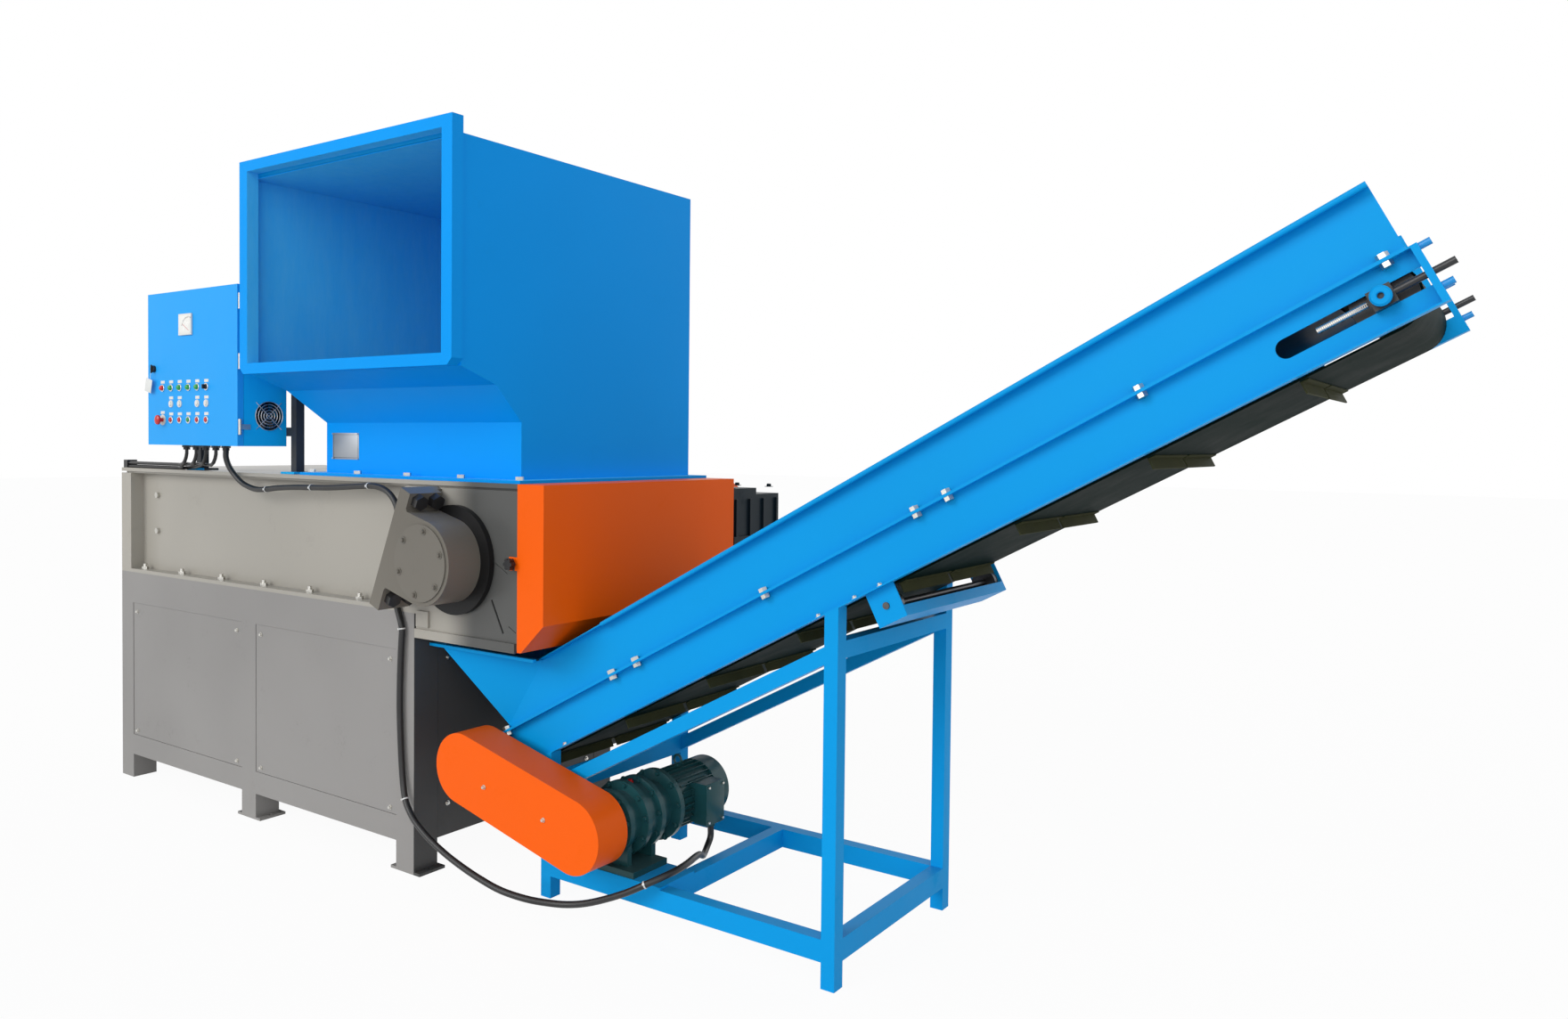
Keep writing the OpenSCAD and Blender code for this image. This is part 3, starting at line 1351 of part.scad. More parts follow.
module motor_cable() {
  color(rubber_black) swept(cable_route, cable_r, 10, [1, 0, 0]);
}

// Conveyor
module conveyor_frame() {
  color(shell_blue) on_slope() {
    both_sides() {
      difference() {
        union() {
          block(frame_s0, frame_s1, -side_half, -side_half + sheet_t, low_n, mid_n);
          block(frame_s0, frame_s1, -lip_half, -side_half, mid_n - sheet_t, mid_n);
          block(frame_s0, frame_s1, -lip_half, -side_half, low_n, low_n + sheet_t);
          block(frame_s1, frame_s1 + end_t, -lip_half, -side_half + sheet_t, low_n, mid_n);
          rod_y(tail_s, axis_n, -side_half - hub_t, -side_half, hub_r);
        }
        block(slot_s0, frame_s1, -side_half - cut, -side_half + sheet_t + cut, axis_n - slot_h / 2,
          axis_n + slot_h / 2);
        rod_y(slot_s0, axis_n, -side_half - cut, -side_half + sheet_t + cut, slot_h / 2);
        rod_y(tail_s, axis_n, -side_half - hub_t - cut, -side_half + sheet_t + cut, axle_r + run);
        rod_x(-side_half - block_t / 2, axis_n, frame_s1 - cut, frame_s1 + end_t + cut,
          rod_thread_r + run);
      }
    }
    block(bed_s0, bed_s1, -side_half + sheet_t, side_half - sheet_t, axis_n + pulley_r - fit - bed_t,
      axis_n + pulley_r - fit);
    for (s = cross_s) tube([s, -side_half + sheet_t, axis_n + pulley_r - fit - bed_t - cross_w],
      [cross_w, 2 * (side_half - sheet_t), cross_w], 1, stand_t);
  }
}
module skirt_boards() {
  color(shell_blue) {
    on_slope() both_sides() {
      plate_y(-side_half, -side_half + sheet_t)
        polygon([[skirt_fold_s, mid_n], [skirt_len, mid_n], [skirt_len, 0], [0, 0]]);
      block(skirt_fold_s, skirt_len, -lip_half, -side_half, mid_n, mid_n + sheet_t);
      block(0, skirt_len, -lip_half, -side_half, -sheet_t, 0);
      rod_x(-lip_half, -roll_r + sheet_t, rolled_s0, skirt_len, roll_r);
    }
    difference() {
      block(rim_x0, feed_x1, -feed_half - rim_w, feed_half + rim_w, feed_z, feed_z + rim_t);
      block(feed_x0, feed_x1 + cut, -feed_half + sheet_t, feed_half - sheet_t, feed_z - cut, feed_z + rim_t + cut);
    }
    both_sides() sheet([[feed_x0 - sheet_t, -feed_half, feed_z + sheet_t],
      [feed_low_x, -side_half + sheet_t / 4, feed_low_z], [con_x + sheet_t, -side_half + sheet_t / 4,
      con_z - sheet_t / 2], [feed_x1, -feed_half, feed_z + sheet_t]], [0, sheet_t / 2, 0]);
    translate([-sheet_t / 4, 0, 0]) sheet([[feed_x0 - sheet_t, -feed_half + sheet_t / 4, feed_z + sheet_t],
      [feed_x0 - sheet_t, feed_half - sheet_t / 4, feed_z + sheet_t], [feed_low_x, side_half - sheet_t / 2,
      feed_low_z], [feed_low_x, -side_half + sheet_t / 2, feed_low_z]], [sheet_t / 2, 0, 0]);
  }
}
tail_c = [tail_s, axis_n];
head_c = [head_s, axis_n];
module cleat(s, top) {
  n = top ? axis_n + belt_r : axis_n - belt_r - cleat_h;
  base = top ? axis_n + belt_r : axis_n - belt_r - cleat_t;
  both_sides() {
    block(s, s + cleat_t, -cleat_side, -belt_gap, n, n + cleat_h);
    block(s, s + cleat_base, -cleat_side, -belt_gap, base, base + cleat_t);
  }
}
module belt() {
  color(belt_green) on_slope() {
    plate_y(-belt_half, belt_half) difference() {
      loop_2d(tail_c, belt_r, head_c, belt_r);
      loop_2d(tail_c, pulley_r, head_c, pulley_r);
    }
    for (i = [0:cleats_low - 1]) cleat(head_s - cleat_pitch * (i + 3 / 5), false);
    for (i = [0:cleats_top - 1]) cleat(tail_s + cleat_pitch * (i + 2 / 3), true);
  }
}
module head_pulley() {
  color(steel) on_slope() {
    rod_y(head_s, axis_n, -belt_half, belt_half, pulley_r - fit, $fn = 96);
    rod_y(head_s, axis_n, -shaft_end, shaft_end, axle_r);
  }
}
module sprocket(x, z, y, shift) {
  translate([x, y + sprocket_t / 2, z]) rotate([90, 0, 0]) linear_extrude(height = sprocket_t) difference() {
    circle(r = pitch_r + tooth_out);
    for (i = [0:teeth - 1]) rotate(360 * (i + shift) / teeth) translate([pitch_r, 0])
      circle(r = roller_chain_r + tooth_gap, $fn = 24);
  }
}
module tail_pulley() {
  color(steel) {
    on_slope() {
      rod_y(tail_s, axis_n, -belt_half, belt_half, pulley_r - fit, $fn = 96);
      rod_y(tail_s, axis_n, -sprocket_y - 2 * sprocket_t, shaft_end, axle_r);
    }
    translate([tail_x, 0, tail_z]) rotate([0, drive_fall, 0]) sprocket(0, 0, -sprocket_y, 0);
  }
}
module drive_sprocket() {
  color(steel) {
    translate([drive_x, 0, drive_z]) rotate([0, drive_fall, 0]) sprocket(0, 0, -sprocket_y, 0);
    rod_y(drive_x, drive_z, -sprocket_y - 2 * sprocket_t, -gear_front + gear_r / 2, axle_r);
  }
}
module chain() {
  p = [0, 0];
  q = [span, 0];
  color(steel) translate([tail_x, -sprocket_y, tail_z]) rotate([0, drive_fall, 0]) {
    both_sides() plate_y(sprocket_t / 2 + link_gap, sprocket_t / 2 + link_gap + link_t) difference() {
      loop_2d(p, pitch_r + link_h, q, pitch_r + link_h);
      loop_2d(p, pitch_r - link_h, q, pitch_r - link_h);
    }
    w = sprocket_t / 2 + link_gap;
    for (s = [-1, 1], i = [clear_pins:span_pitches - clear_pins])
      rod_y(i * chain_pitch, s * pitch_r, -w, w, roller_chain_r, $fn = 16);
  }
}
module take_up_blocks() {
  color(steel) on_slope() both_sides() difference() {
    union() {
      block(head_s - block_len / 2, head_s + block_len / 2, -side_half - block_t, -side_half + 3 * sheet_t,
        axis_n - slot_h / 2 + fit, axis_n + slot_h / 2 - fit);
      rod_x(-side_half - block_t / 2, axis_n, head_s + block_len / 2, head_s + rod_len, rod_thread_r);
    }
    rod_y(head_s, axis_n, -side_half - block_t - cut, -side_half + block_t + cut, axle_r + run);
  }
}
module return_roller() {
  color(steel) on_slope() {
    both_sides() rod_y(roller_s, roller_n, -wheel_y0 - wheel_w, -wheel_y0, roller_r);
    rod_y(roller_s, roller_n, -side_half - sheet_t, side_half + sheet_t, axle_r / 2);
  }
}
module return_guard() {
  color(shell_blue) on_slope() {
    both_sides() difference() {
      block(trough_s0, trough_s1, -side_half, -side_half + sheet_t, low_n - trough_d, low_n);
      rod_y(roller_s, roller_n, -side_half - cut, -side_half + sheet_t + cut, axle_r / 2 + run);
    }
    block(trough_s0, trough_s1, -side_half, side_half, low_n - trough_d, low_n - trough_d + sheet_t);
    block(trough_s1 - sheet_t, trough_s1, -side_half, side_half, low_n - trough_d, low_n - trough_d + trough_lip);
  }
}
module stand_leg(x) {
  difference() {
    tube([x, -lip_half, 0], [stand_w, stand_w, con_z + skirt_len], 2, stand_t);
    on_slope() block(-skirt_len, 2 * skirt_len, -2 * lip_half, 0, low_n, low_n + 2 * skirt_len);
  }
}
module conveyor_stand() {
  x1 = stand_x0 + stand_w;
  inner = lip_half - stand_w;
  color(shell_blue) {
    both_sides() {
      stand_leg(stand_x0);
      stand_leg(stand_x1);
      tube([x1, -lip_half, rail_z], [stand_x1 - x1, stand_w, rail_h], 0, stand_t);
      intersection() {
        on_slope() tube([-skirt_h * 2, -lip_half, brace_n], [skirt_len / 2 + skirt_h, stand_w, stand_w], 0, stand_t);
        block(x1, stand_x1, -lip_half, 0, 0, con_z + skirt_len);
      }
    }
    block(stand_x0, x1, -guard_back, -lip_half, drive_brace_z, drive_brace_z + guard_foot_z);
    for (x = [stand_x0, mid_rail_x, stand_x1])
      tube([x, -inner, rail_z], [stand_w, 2 * inner, rail_h], 1, stand_t);
    tube([stand_x1, -inner, brace_top_z], [stand_w, 2 * inner, brace_top_h], 1, stand_t);
    block(x1 - sheet_t, x1, -inner, inner, tail_plate_z, tail_plate_z + tail_plate_h);
    block(motor_plate_x0, mid_rail_x + stand_w, -lip_half, -motor_plate_y, rail_z + rail_h,
      rail_z + rail_h + motor_plate_t);
  }
}

// Conveyor drive
module chain_guard() {
  p = [tail_x, tail_z];
  q = [drive_x, drive_z];
  color(guard_orange) difference() {
    plate_y(-guard_y, -guard_back) loop_2d(p, guard_r, q, guard_r);
    plate_y(-guard_y + guard_sheet, -guard_back - guard_sheet)
      loop_2d(p, guard_r - guard_sheet, q, guard_r - guard_sheet);
    for (c = [p, q]) rod_y(c[0], c[1], -guard_back - 2 * guard_sheet, -guard_back + cut, guard_hole_r);
  }
}
module gear_reducer() {
  color(drive_teal) difference() {
    union() {
      turned_y(drive_x, -gear_front, drive_z, $fn = 96)
        polygon([for (p = reducer_shares) [p[0] * gear_flange_r, p[1] * (gear_front - gear_back)]]);
      z0 = rail_z + rail_h + motor_plate_t;
      block(drive_x - foot_plate_len / 2, drive_x + foot_plate_len / 2, -lip_half + stand_t, -motor_plate_y - 2 * stand_t,
        z0, z0 + foot_plate_t);
      for (y = [-lip_half + 2 * stand_w / 3, -motor_plate_y - 2 * stand_t - foot_plate_t])
        block(drive_x - gear_r * 2 / 3, drive_x + gear_r * 2 / 3, y, y + foot_plate_t, z0, drive_z - gear_r / 2);
    }
    rod_y(drive_x, drive_z, -gear_front - cut, -gear_front + gear_r / 2 + cut, axle_r + run);
  }
}
module drive_motor() {
  color(drive_teal) difference() {
    union() {
      rod_y(drive_x, drive_z, -gear_back, gear_motor_end - stand_w, gear_r - fin_h, $fn = 96);
      rod_y(drive_x, drive_z, gear_motor_end - stand_w * 3 / 2, gear_motor_end, gear_r, $fn = 96);
      for (i = [0:motor_fins - 1]) translate([drive_x, 0, drive_z]) rotate([0, i * 360 / motor_fins, 0])
        block(gear_r - 2 * fin_h, gear_r, -gear_back + stand_w / 2, gear_motor_end - stand_w, -fin_t / 3, fin_t / 3);
      block(drive_x, box_x0, box_y0 + stand_t, box_y1 - stand_t, box_z0 + stand_t, box_z1 - stand_t);
      block(box_x0, box_x1, box_y0, box_y1, box_z0, box_z1);
      rod_z(cable_gland_x, cable_gland_y, box_z0 - cable_gland_h, box_z0, gland_r);
    }
  }
  color(steel) translate([drive_x, 0, drive_z + gear_r]) {
    rod_z(0, 0, -stand_t, eye_wire_r, eye_r / 2);
    translate([0, 0, eye_r + eye_wire_r]) rotate([90, 0, 0]) rotate_extrude() translate([eye_r, 0]) circle(r = eye_wire_r);
  }
}

// Hexagon bolts and nuts
module fasteners() {
  color(zinc) {
    both_sides() for (i = [0:5]) {
      x = chamber_x0 + nut_in + i * nut_pitch;
      hex_z(x, -half_w + recess / 2, base_z, base_z + nut_t, nut_w);
      rod_z(x, -half_w + recess / 2, base_z + nut_t, base_z + 2 * nut_t, nut_w / 3);
    }
    both_sides() for (z = [deck_z - nut_up[0], deck_z - nut_up[1]])
      hex_y(chamber_x0 + post_len + nut_side, z, -wall_face - nut_t, -wall_face, nut_w);
    both_sides() on_rotor() for (y = seat_bolt_y, z = [seat_bolt_up, -seat_bolt_low])
      translate([-seat_back + seat_t + foot_t2, -half_w - y, z]) rotate([0, 90, 0])
        cylinder(h = big_nut_t, r = big_nut_w / sqrt(3), $fn = 6);
    for (i = [0:4])
      hex_z(hop_left_low - hop_flange_w / 2 - sheet_t + i * hop_nut_pitch, -hop_near - hop_flange_w / 2 - sheet_t,
        deck_z + hop_flange_t, deck_z + hop_flange_t + nut_t, nut_w);
    on_slope() both_sides() {
      for (s = mid_bolt_s) {
        hex_z(s, -side_half - lip_w / 2, mid_n + sheet_t, mid_n + sheet_t + nut_t, nut_w);
        hex_z(s, -side_half - lip_w / 2, mid_n - sheet_t - nut_t, mid_n - sheet_t, nut_w);
      }
      for (n = face_bolt_n) rod_x(-side_half - lip_w / 2, mid_n + n, frame_s1 + end_t, frame_s1 + end_t + nut_w, nut_w / 3);
    }
  }
}

base_frame();
base_panels();
side_plate_near();
side_plate_far();
press_housing();
counter_knives();
screen();
ram();
piston_rods();
hydraulics();
rotor_drum();
rotor_knives();
bearing_brackets();
bearing_housings();
rotor_bearings();
bearing_covers();
hopper();
front_cover();
star_knob_near();
star_knob_far();
rotor_gearbox();
main_motor();
gearbox_pulley();
motor_pulley();
v_belts();
belt_guard();
cabinet_box();
cabinet_door();
door_lock();
door_fittings();
push_button_1();
push_button_2();
push_button_3();
push_button_4();
push_button_5();
push_button_6();
push_button_7();
push_button_8();
push_button_9();
emergency_stop();
selector_switch();
fan_frame();
fan_impeller();
conduits();
motor_cable();
conveyor_frame();
skirt_boards();
belt();
head_pulley();
tail_pulley();
take_up_blocks();
return_roller();
return_guard();
conveyor_stand();
chain_guard();
drive_sprocket();
chain();
gear_reducer();
drive_motor();
fasteners();
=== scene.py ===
# %% [markdown]
# # A single shaft shredder with its discharge conveyor
# This lesson dresses a machine whose solids come from a CAD model. The solids stay where they
# are; here they get their paint, rubber and steel, and the small things that a CAD model leaves
# out: bolts, lamps, rings, plugs and cable ties. Everything is in metres. +X runs towards the
# conveyor, +Y away from the side with the controls and +Z up.

# %% Load the frame
import math

import bmesh
import bpy
from mathutils import Matrix, Vector


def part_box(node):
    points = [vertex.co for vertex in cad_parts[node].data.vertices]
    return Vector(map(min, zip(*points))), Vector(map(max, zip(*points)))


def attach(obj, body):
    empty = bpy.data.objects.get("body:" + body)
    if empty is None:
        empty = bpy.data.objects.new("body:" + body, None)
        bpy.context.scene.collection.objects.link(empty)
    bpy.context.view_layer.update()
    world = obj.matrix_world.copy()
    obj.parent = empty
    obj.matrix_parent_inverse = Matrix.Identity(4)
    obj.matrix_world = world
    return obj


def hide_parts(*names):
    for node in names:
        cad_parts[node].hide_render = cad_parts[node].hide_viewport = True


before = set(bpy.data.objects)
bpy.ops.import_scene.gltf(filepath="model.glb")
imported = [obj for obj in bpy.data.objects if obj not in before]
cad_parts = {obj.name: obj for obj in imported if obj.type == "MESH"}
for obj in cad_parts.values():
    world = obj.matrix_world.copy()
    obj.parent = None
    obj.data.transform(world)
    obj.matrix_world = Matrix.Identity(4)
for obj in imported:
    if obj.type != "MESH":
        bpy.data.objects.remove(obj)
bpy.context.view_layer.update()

# %% [markdown]
# ## Camera
# The photograph was taken at eye height, from near the end of the conveyor. Straight edges of the
# frame gave the direction of the view and the lens: 25.7 mm on a full frame sensor. The picture
# was cropped a little, so the lens axis lies above the middle, which is what the small vertical
# shift says.

# %% Make the camera
camera = bpy.data.objects.new("camera", bpy.data.cameras.new("camera"))
bpy.context.scene.collection.objects.link(camera)
eye_point = (4.305, -3.011, 1.540)
across = Vector((0.8271, 0.5619, 0.0104))
upward = Vector((-0.0222, 0.0141, 0.9997))
backward = Vector((0.5616, -0.8271, 0.0241))
turned = Matrix((across, upward, backward)).transposed().to_4x4()
camera.matrix_world = Matrix.Translation(eye_point) @ turned
camera.data.sensor_width = 36
camera.data.lens = 25.71
camera.data.shift_y = -0.0257
camera.data.clip_end = 100
bpy.context.scene.camera = camera
print("camera at", tuple(camera.location))

# %% [markdown]
# ## The motor cable
# One black rubber cable leaves the cabinet's last gland, runs along the chamber's wall, drops
# down the leg, hangs in a long bow near the floor and rises to the terminal box of the conveyor's
# gear motor. It is a curve with one open spline, so its length can be measured and it bends
# smoothly at every point.

# %% Draw the motor cable
cable_route = [
    (-93, -540, 1483), (-93, -540, 1455), (-86, -532, 1420), (-62, -522, 1386), (-15, -515, 1352),
    (70, -513, 1332), (150, -513, 1334), (220, -513, 1341), (330, -513, 1347), (450, -513, 1350),
    (570, -513, 1353), (700, -513, 1361), (800, -513, 1367), (860, -513, 1364), (908, -513, 1349),
    (945, -513, 1320), (965, -513, 1280), (966, -513, 1220), (956, -513, 1150), (946, -513, 1080),
    (944, -513, 1015), (955, -513, 960), (975, -514, 915), (992, -515, 870), (989, -515, 820),
    (984, -515, 740), (981, -515, 660), (981, -515, 573), (985, -515, 490), (991, -515, 405),
    (1002, -517, 330), (1023, -523, 274), (1055, -530, 240), (1099, -538, 211), (1170, -543, 175),
    (1260, -545, 140), (1350, -545, 113), (1440, -543, 91), (1530, -535, 72), (1620, -512, 59),
    (1690, -485, 54), (1756, -463, 57), (1830, -450, 75), (1910, -440, 106), (1980, -428, 138),
    (2035, -410, 168), (2072, -370, 188), (2088, -320, 198), (2086, -265, 202), (2070, -210, 200),
    (2045, -155, 188), (2016, -105, 166), (1988, -60, 144), (1964, -22, 136), (1950, 10, 146),
    (1945, 35, 172), (1945, 35, 211.7),
]
cable_points = [Vector(p) / 1000 for p in cable_route]
CABLE_WIDTH = 0.022


def smooth_line(points, steps=4):
    """Points on a smooth curve through the given ones."""
    line = []
    ends = [2 * points[0] - points[1], *points, 2 * points[-1] - points[-2]]
    for a, b, c, d in zip(ends, ends[1:], ends[2:], ends[3:]):
        for i in range(steps):
            t = i / steps
            line.append(
                0.5 * (2 * b + (c - a) * t + (2 * a - 5 * b + 4 * c - d) * t**2
                       + (3 * b - a - 3 * c + d) * t**3)
            )
    return line + [points[-1]]


def tube_along(name, points, radius):
    """A round cable along a line of points, as a curve with one open spline.

    Its thickness is set on the points, and the bevel depth of 1 m only multiplies it.
    """
    data = bpy.data.curves.new(name, "CURVE")
    data.dimensions = "3D"
    spline = data.splines.new("POLY")
    spline.points.add(len(points) - 1)
    for point, place in zip(spline.points, points):
        point.co = (*place, 1)
        point.radius = radius
    data.bevel_depth = 1
    data.bevel_resolution = 3
    data.use_fill_caps = True
    piece = bpy.data.objects.new(name, data)
    bpy.context.scene.collection.objects.link(piece)
    return piece


def length_of(points):
    return sum((b - a).length for a, b in zip(points, points[1:]))


cable_line = smooth_line(cable_points)
motor_lead = tube_along("motor_lead", cable_line, CABLE_WIDTH / 2)
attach(motor_lead, "machine")
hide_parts("motor_cable")
length_of(cable_line)
print("motor cable:", round(length_of(cable_line), 3), "m")

# %% [markdown]
# ## Node trees one line at a time
# A finish is a short sum: base colour, a slow change across the panel, some dust where it can
# lie. The two classes below let such a sum be written as Python. A Wire holds one output socket,
# and its operators add Math nodes. A Board holds the tree, and its add method makes every other
# node.

# %% Wires and boards
class Wire:
    def __init__(self, board, socket, node):
        self.board, self.socket, self.node = board, socket, node

    def join(self, kind, a, b):
        return self.board.add("ShaderNodeMath", {"operation": kind}, {0: a, 1: b})

    def of(self, output):
        return Wire(self.board, self.node.outputs[output], self.node)

    def __add__(self, other):
        return self.join("ADD", self, other)

    def __radd__(self, other):
        return self.join("ADD", other, self)

    def __sub__(self, other):
        return self.join("SUBTRACT", self, other)

    def __rsub__(self, other):
        return self.join("SUBTRACT", other, self)

    def __mul__(self, other):
        return self.join("MULTIPLY", self, other)

    def __rmul__(self, other):
        return self.join("MULTIPLY", other, self)

    def __truediv__(self, other):
        return self.join("DIVIDE", self, other)

    def __lt__(self, other):
        return self.join("LESS_THAN", self, other)

    def __gt__(self, other):
        return self.join("GREATER_THAN", self, other)


class Board:
    def __init__(self, tree):
        self.tree = tree

    def add(self, kind, settings=None, sockets=None, out=0):
        """Makes a node: its settings first, then the values and links of its sockets."""
        node = self.tree.nodes.new(kind)
        for key, value in (settings or {}).items():
            if key == "stops":
                for stop, (at, colour) in zip(node.color_ramp.elements, value):
                    stop.position, stop.color = at, colour
            else:
                setattr(node, key, value)
        for key, value in (sockets or {}).items():
            for each in value if isinstance(value, list) else [value]:
                if isinstance(each, Wire):
                    self.tree.links.new(each.socket, node.inputs[key])
                else:
                    node.inputs[key].default_value = each
        return Wire(self, node.outputs[out], node) if node.outputs else node

    def place(self):
        """Object coordinates, which are the machine's own metres."""
        return self.add("ShaderNodeTexCoord", out="Object")

    def parts(self, vector):
        """The X, Y and Z of a vector. The splitting node's own first socket is X."""
        split = self.add("ShaderNodeSeparateXYZ", sockets={"Vector": vector})
        return split, split.of("Y"), split.of("Z")

    def stretch(self, vector, scale):
        return self.add("ShaderNodeMapping", sockets={"Vector": vector, "Scale": scale})

    def noise(self, vector, scale, detail=2.0, rough=0.5):
        return self.add(
            "ShaderNodeTexNoise",
            sockets={"Vector": vector, "Scale": scale, "Detail": detail, "Roughness": rough},
        )

    def between(self, value, low, high):
        """0 below low, 1 above high and smooth in between."""
        return self.add(
            "ShaderNodeMapRange", {"interpolation_type": "SMOOTHSTEP"},
            {"Value": value, "From Min": low, "From Max": high},
        )

    def mix(self, a, b, factor):
        return self.add("ShaderNodeMix", {"data_type": "RGBA"}, {0: factor, 6: a, 7: b}, out=2)

    def bump(self, height, strength, distance):
        return self.add(
            "ShaderNodeBump", sockets={"Height": height, "Strength": strength, "Distance": distance}
        )


def new_finish(name):
    finish = bpy.data.materials.new(name)
    finish.use_nodes = True
    finish.node_tree.nodes.clear()
    return finish, Board(finish.node_tree)


def close_finish(board, **sockets):
    """Ends a finish in one Principled shader, whose sockets are words with _ for a space."""
    named = {key.replace("_", " "): value for key, value in sockets.items()}
    shader = board.add("ShaderNodeBsdfPrincipled", sockets=named)
    board.add("ShaderNodeOutputMaterial", sockets={"Surface": shader})


def srgb(red, green, blue):
    """A colour as a screen shows it, from 0 to 255, turned into the linear one of shaders."""
    shares = [channel / 255 for channel in (red, green, blue)]
    return (*[c / 12.92 if c < 0.039 else ((c + 0.055) / 1.055) ** 2.4 for c in shares], 1)


print("helpers are ready")

# %% [markdown]
# ## Sprayed paint
# Machine paint isn't one flat colour. Across a sheet it changes a little in depth, dust settles
# on what faces up, hands and sliding parts leave duller marks, and the film has the fine skin of
# a sprayed coat. Every paint on this machine has the same build and its own colour, gloss and
# amount of dirt.

# %% Paint
def paint_layers(board, colour, dirt, deep):
    """The coordinates, colour, clouds and rubbed places of a painted sheet."""
    place = board.place()
    facing = board.add("ShaderNodeNewGeometry", out="Normal")
    up = board.parts(facing)[2]
    slow = board.noise(place, 0.9, 2)
    cloud = board.noise(place, 6.0, 6, 0.65)
    grain = board.noise(place, 90.0, 3, 0.6)
    darker = tuple(c * deep for c in colour[:3]) + (1,)
    tone = board.mix(darker, colour, board.between(slow, 0.3, 0.65))
    dusty = tuple(0.5 * c + 0.16 for c in colour[:3]) + (1,)
    lying = board.between(up, 0.55, 0.95) * (0.25 + cloud) * dirt
    tone = board.mix(tone, dusty, lying)
    rubbed = board.between(cloud * 0.7 + grain * 0.3, 0.56, 0.72)
    grime = tuple(c * 0.45 + 0.012 for c in colour[:3]) + (1,)
    tone = board.mix(tone, grime, rubbed * dirt * 0.5)
    return place, tone, cloud, rubbed


def paint(name, colour, gloss=0.42, coat=0.0, dirt=0.25, deep=0.9, shine=0.15, painted_shade=None):
    """The last argument is a painted shade near the discharge: its colour, its first X and its
    width.
    """
    finish, board = new_finish(name)
    place, tone, cloud, rubbed = paint_layers(board, colour, dirt, deep)
    if painted_shade:
        # Painted shade: faces beyond the first X are darkened towards the given colour.
        shade_colour, begins, over = painted_shade
        along = board.parts(place)[0]
        tone = board.mix(tone, shade_colour, board.between(along, begins, begins + over) * 0.92)
    skin = board.noise(place, 260.0, 2)
    close_finish(
        board, Base_Color=tone, Roughness=gloss + (cloud - 0.5) * 0.22 + rubbed * 0.18,
        Coat_Weight=coat, Coat_Roughness=0.2, Specular_IOR_Level=shine,
        Normal=board.bump(skin, 0.12, 0.0008),
    )
    return finish


# %% [markdown]
# ## The hopper with painted light inside
# The hopper's inner faces are painted paler than the outer ones, as painted light that brightens
# its inside. A face's normal tells which it is: on an inner face it points to the hopper's middle.

# %% Hopper
def inside_of(board, place, middle):
    """1 on faces that look at a point, as the inner faces of a box round it do, and else 0."""
    facing = board.add("ShaderNodeNewGeometry", out="Normal")
    towards = board.add("ShaderNodeVectorMath", {"operation": "SUBTRACT"}, {0: middle, 1: place})
    looking = {"operation": "DOT_PRODUCT"}
    return board.add("ShaderNodeVectorMath", looking, {0: towards, 1: facing}, out="Value") > 0.02


def hopper_finish():
    finish, board = new_finish("hopper_paint")
    place, blue, cloud, rubbed = paint_layers(board, srgb(0, 156, 246), 0.1, 0.95)
    low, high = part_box("hopper")
    middle = tuple((a + b) / 2 for a, b in zip(low, high))
    inner = inside_of(board, place, middle)
    # Painted light: the inner faces get a paler, mottled blue that brightens the hopper's inside.
    light_mottle = board.noise(board.stretch(place, (3, 3, 0.6)), 7.0, 5, 0.7)
    pale = board.mix(srgb(52, 186, 254), srgb(96, 204, 255), light_mottle)
    close_finish(
        board, Base_Color=board.mix(blue, pale, inner),
        Roughness=0.42 + (cloud - 0.5) * 0.22 + inner * 0.1, Specular_IOR_Level=0.08,
        Normal=board.bump(board.noise(place, 260.0, 2), 0.12, 0.0008),
    )
    return finish


hopper_paint = hopper_finish()
print("hopper paint:", len(hopper_paint.node_tree.nodes), "nodes")

# %% [markdown]
# ## The other paints
# The conveyor is a little darker than the hopper. The gray frame's end and the walls near the
# discharge are painted darker, as painted shade.

# %% One paint for each colour
blue_paint = paint("blue_paint", srgb(8, 156, 228), gloss=0.42, dirt=0.1, deep=0.95, shine=0.08)
orange_paint = paint("orange_paint", srgb(250, 98, 2), gloss=0.42, dirt=0.08, deep=0.95)
# The frame's end face under the discharge gets a painted shade.
frame_paint = paint("frame_paint", srgb(147, 145, 143), gloss=0.38, dirt=0.3, deep=0.86, shine=0.3,
                    painted_shade=(srgb(58, 60, 60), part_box("base_panels")[1][0] - 0.003, 0.002))
# The walls get a painted shade that darkens them from x 1.20 towards the discharge.
wall_paint = paint("wall_paint", srgb(168, 164, 155), gloss=0.33, coat=0.1, dirt=0.25, deep=0.9,
                   shine=0.3, painted_shade=(srgb(68, 70, 70), 1.20, 0.16))
bearing_paint = paint("bearing_paint", srgb(118, 114, 106), gloss=0.36, dirt=0.35, deep=0.85)
motor_paint = paint("motor_paint", srgb(30, 76, 80), gloss=0.36, coat=0.2, dirt=0.2, deep=0.8)
gearbox_paint = paint("gearbox_paint", srgb(24, 38, 46), gloss=0.42, dirt=0.3, deep=0.8)
shaft_paint = paint("shaft_paint", srgb(46, 47, 49), gloss=0.32, dirt=0.15, shine=0.4)
print("paints:", len(bpy.data.materials))

# %% [markdown]
# ## Two paints on one solid
# The cabinet and the posts that carry it are one welded piece in the model, but the posts are
# gray, and the hinges are bare zinc. The posts are all that lies behind the cabinet's back and
# the hinges all that stands out at its right side, so the X and Y coordinates tell the finishes
# apart.

# %% Cabinet with gray posts and zinc hinges
POSTS_Y = -0.4405
HINGES_X, HINGES_Y = 0.1686, -0.58
GLANDS_Z = 1.5


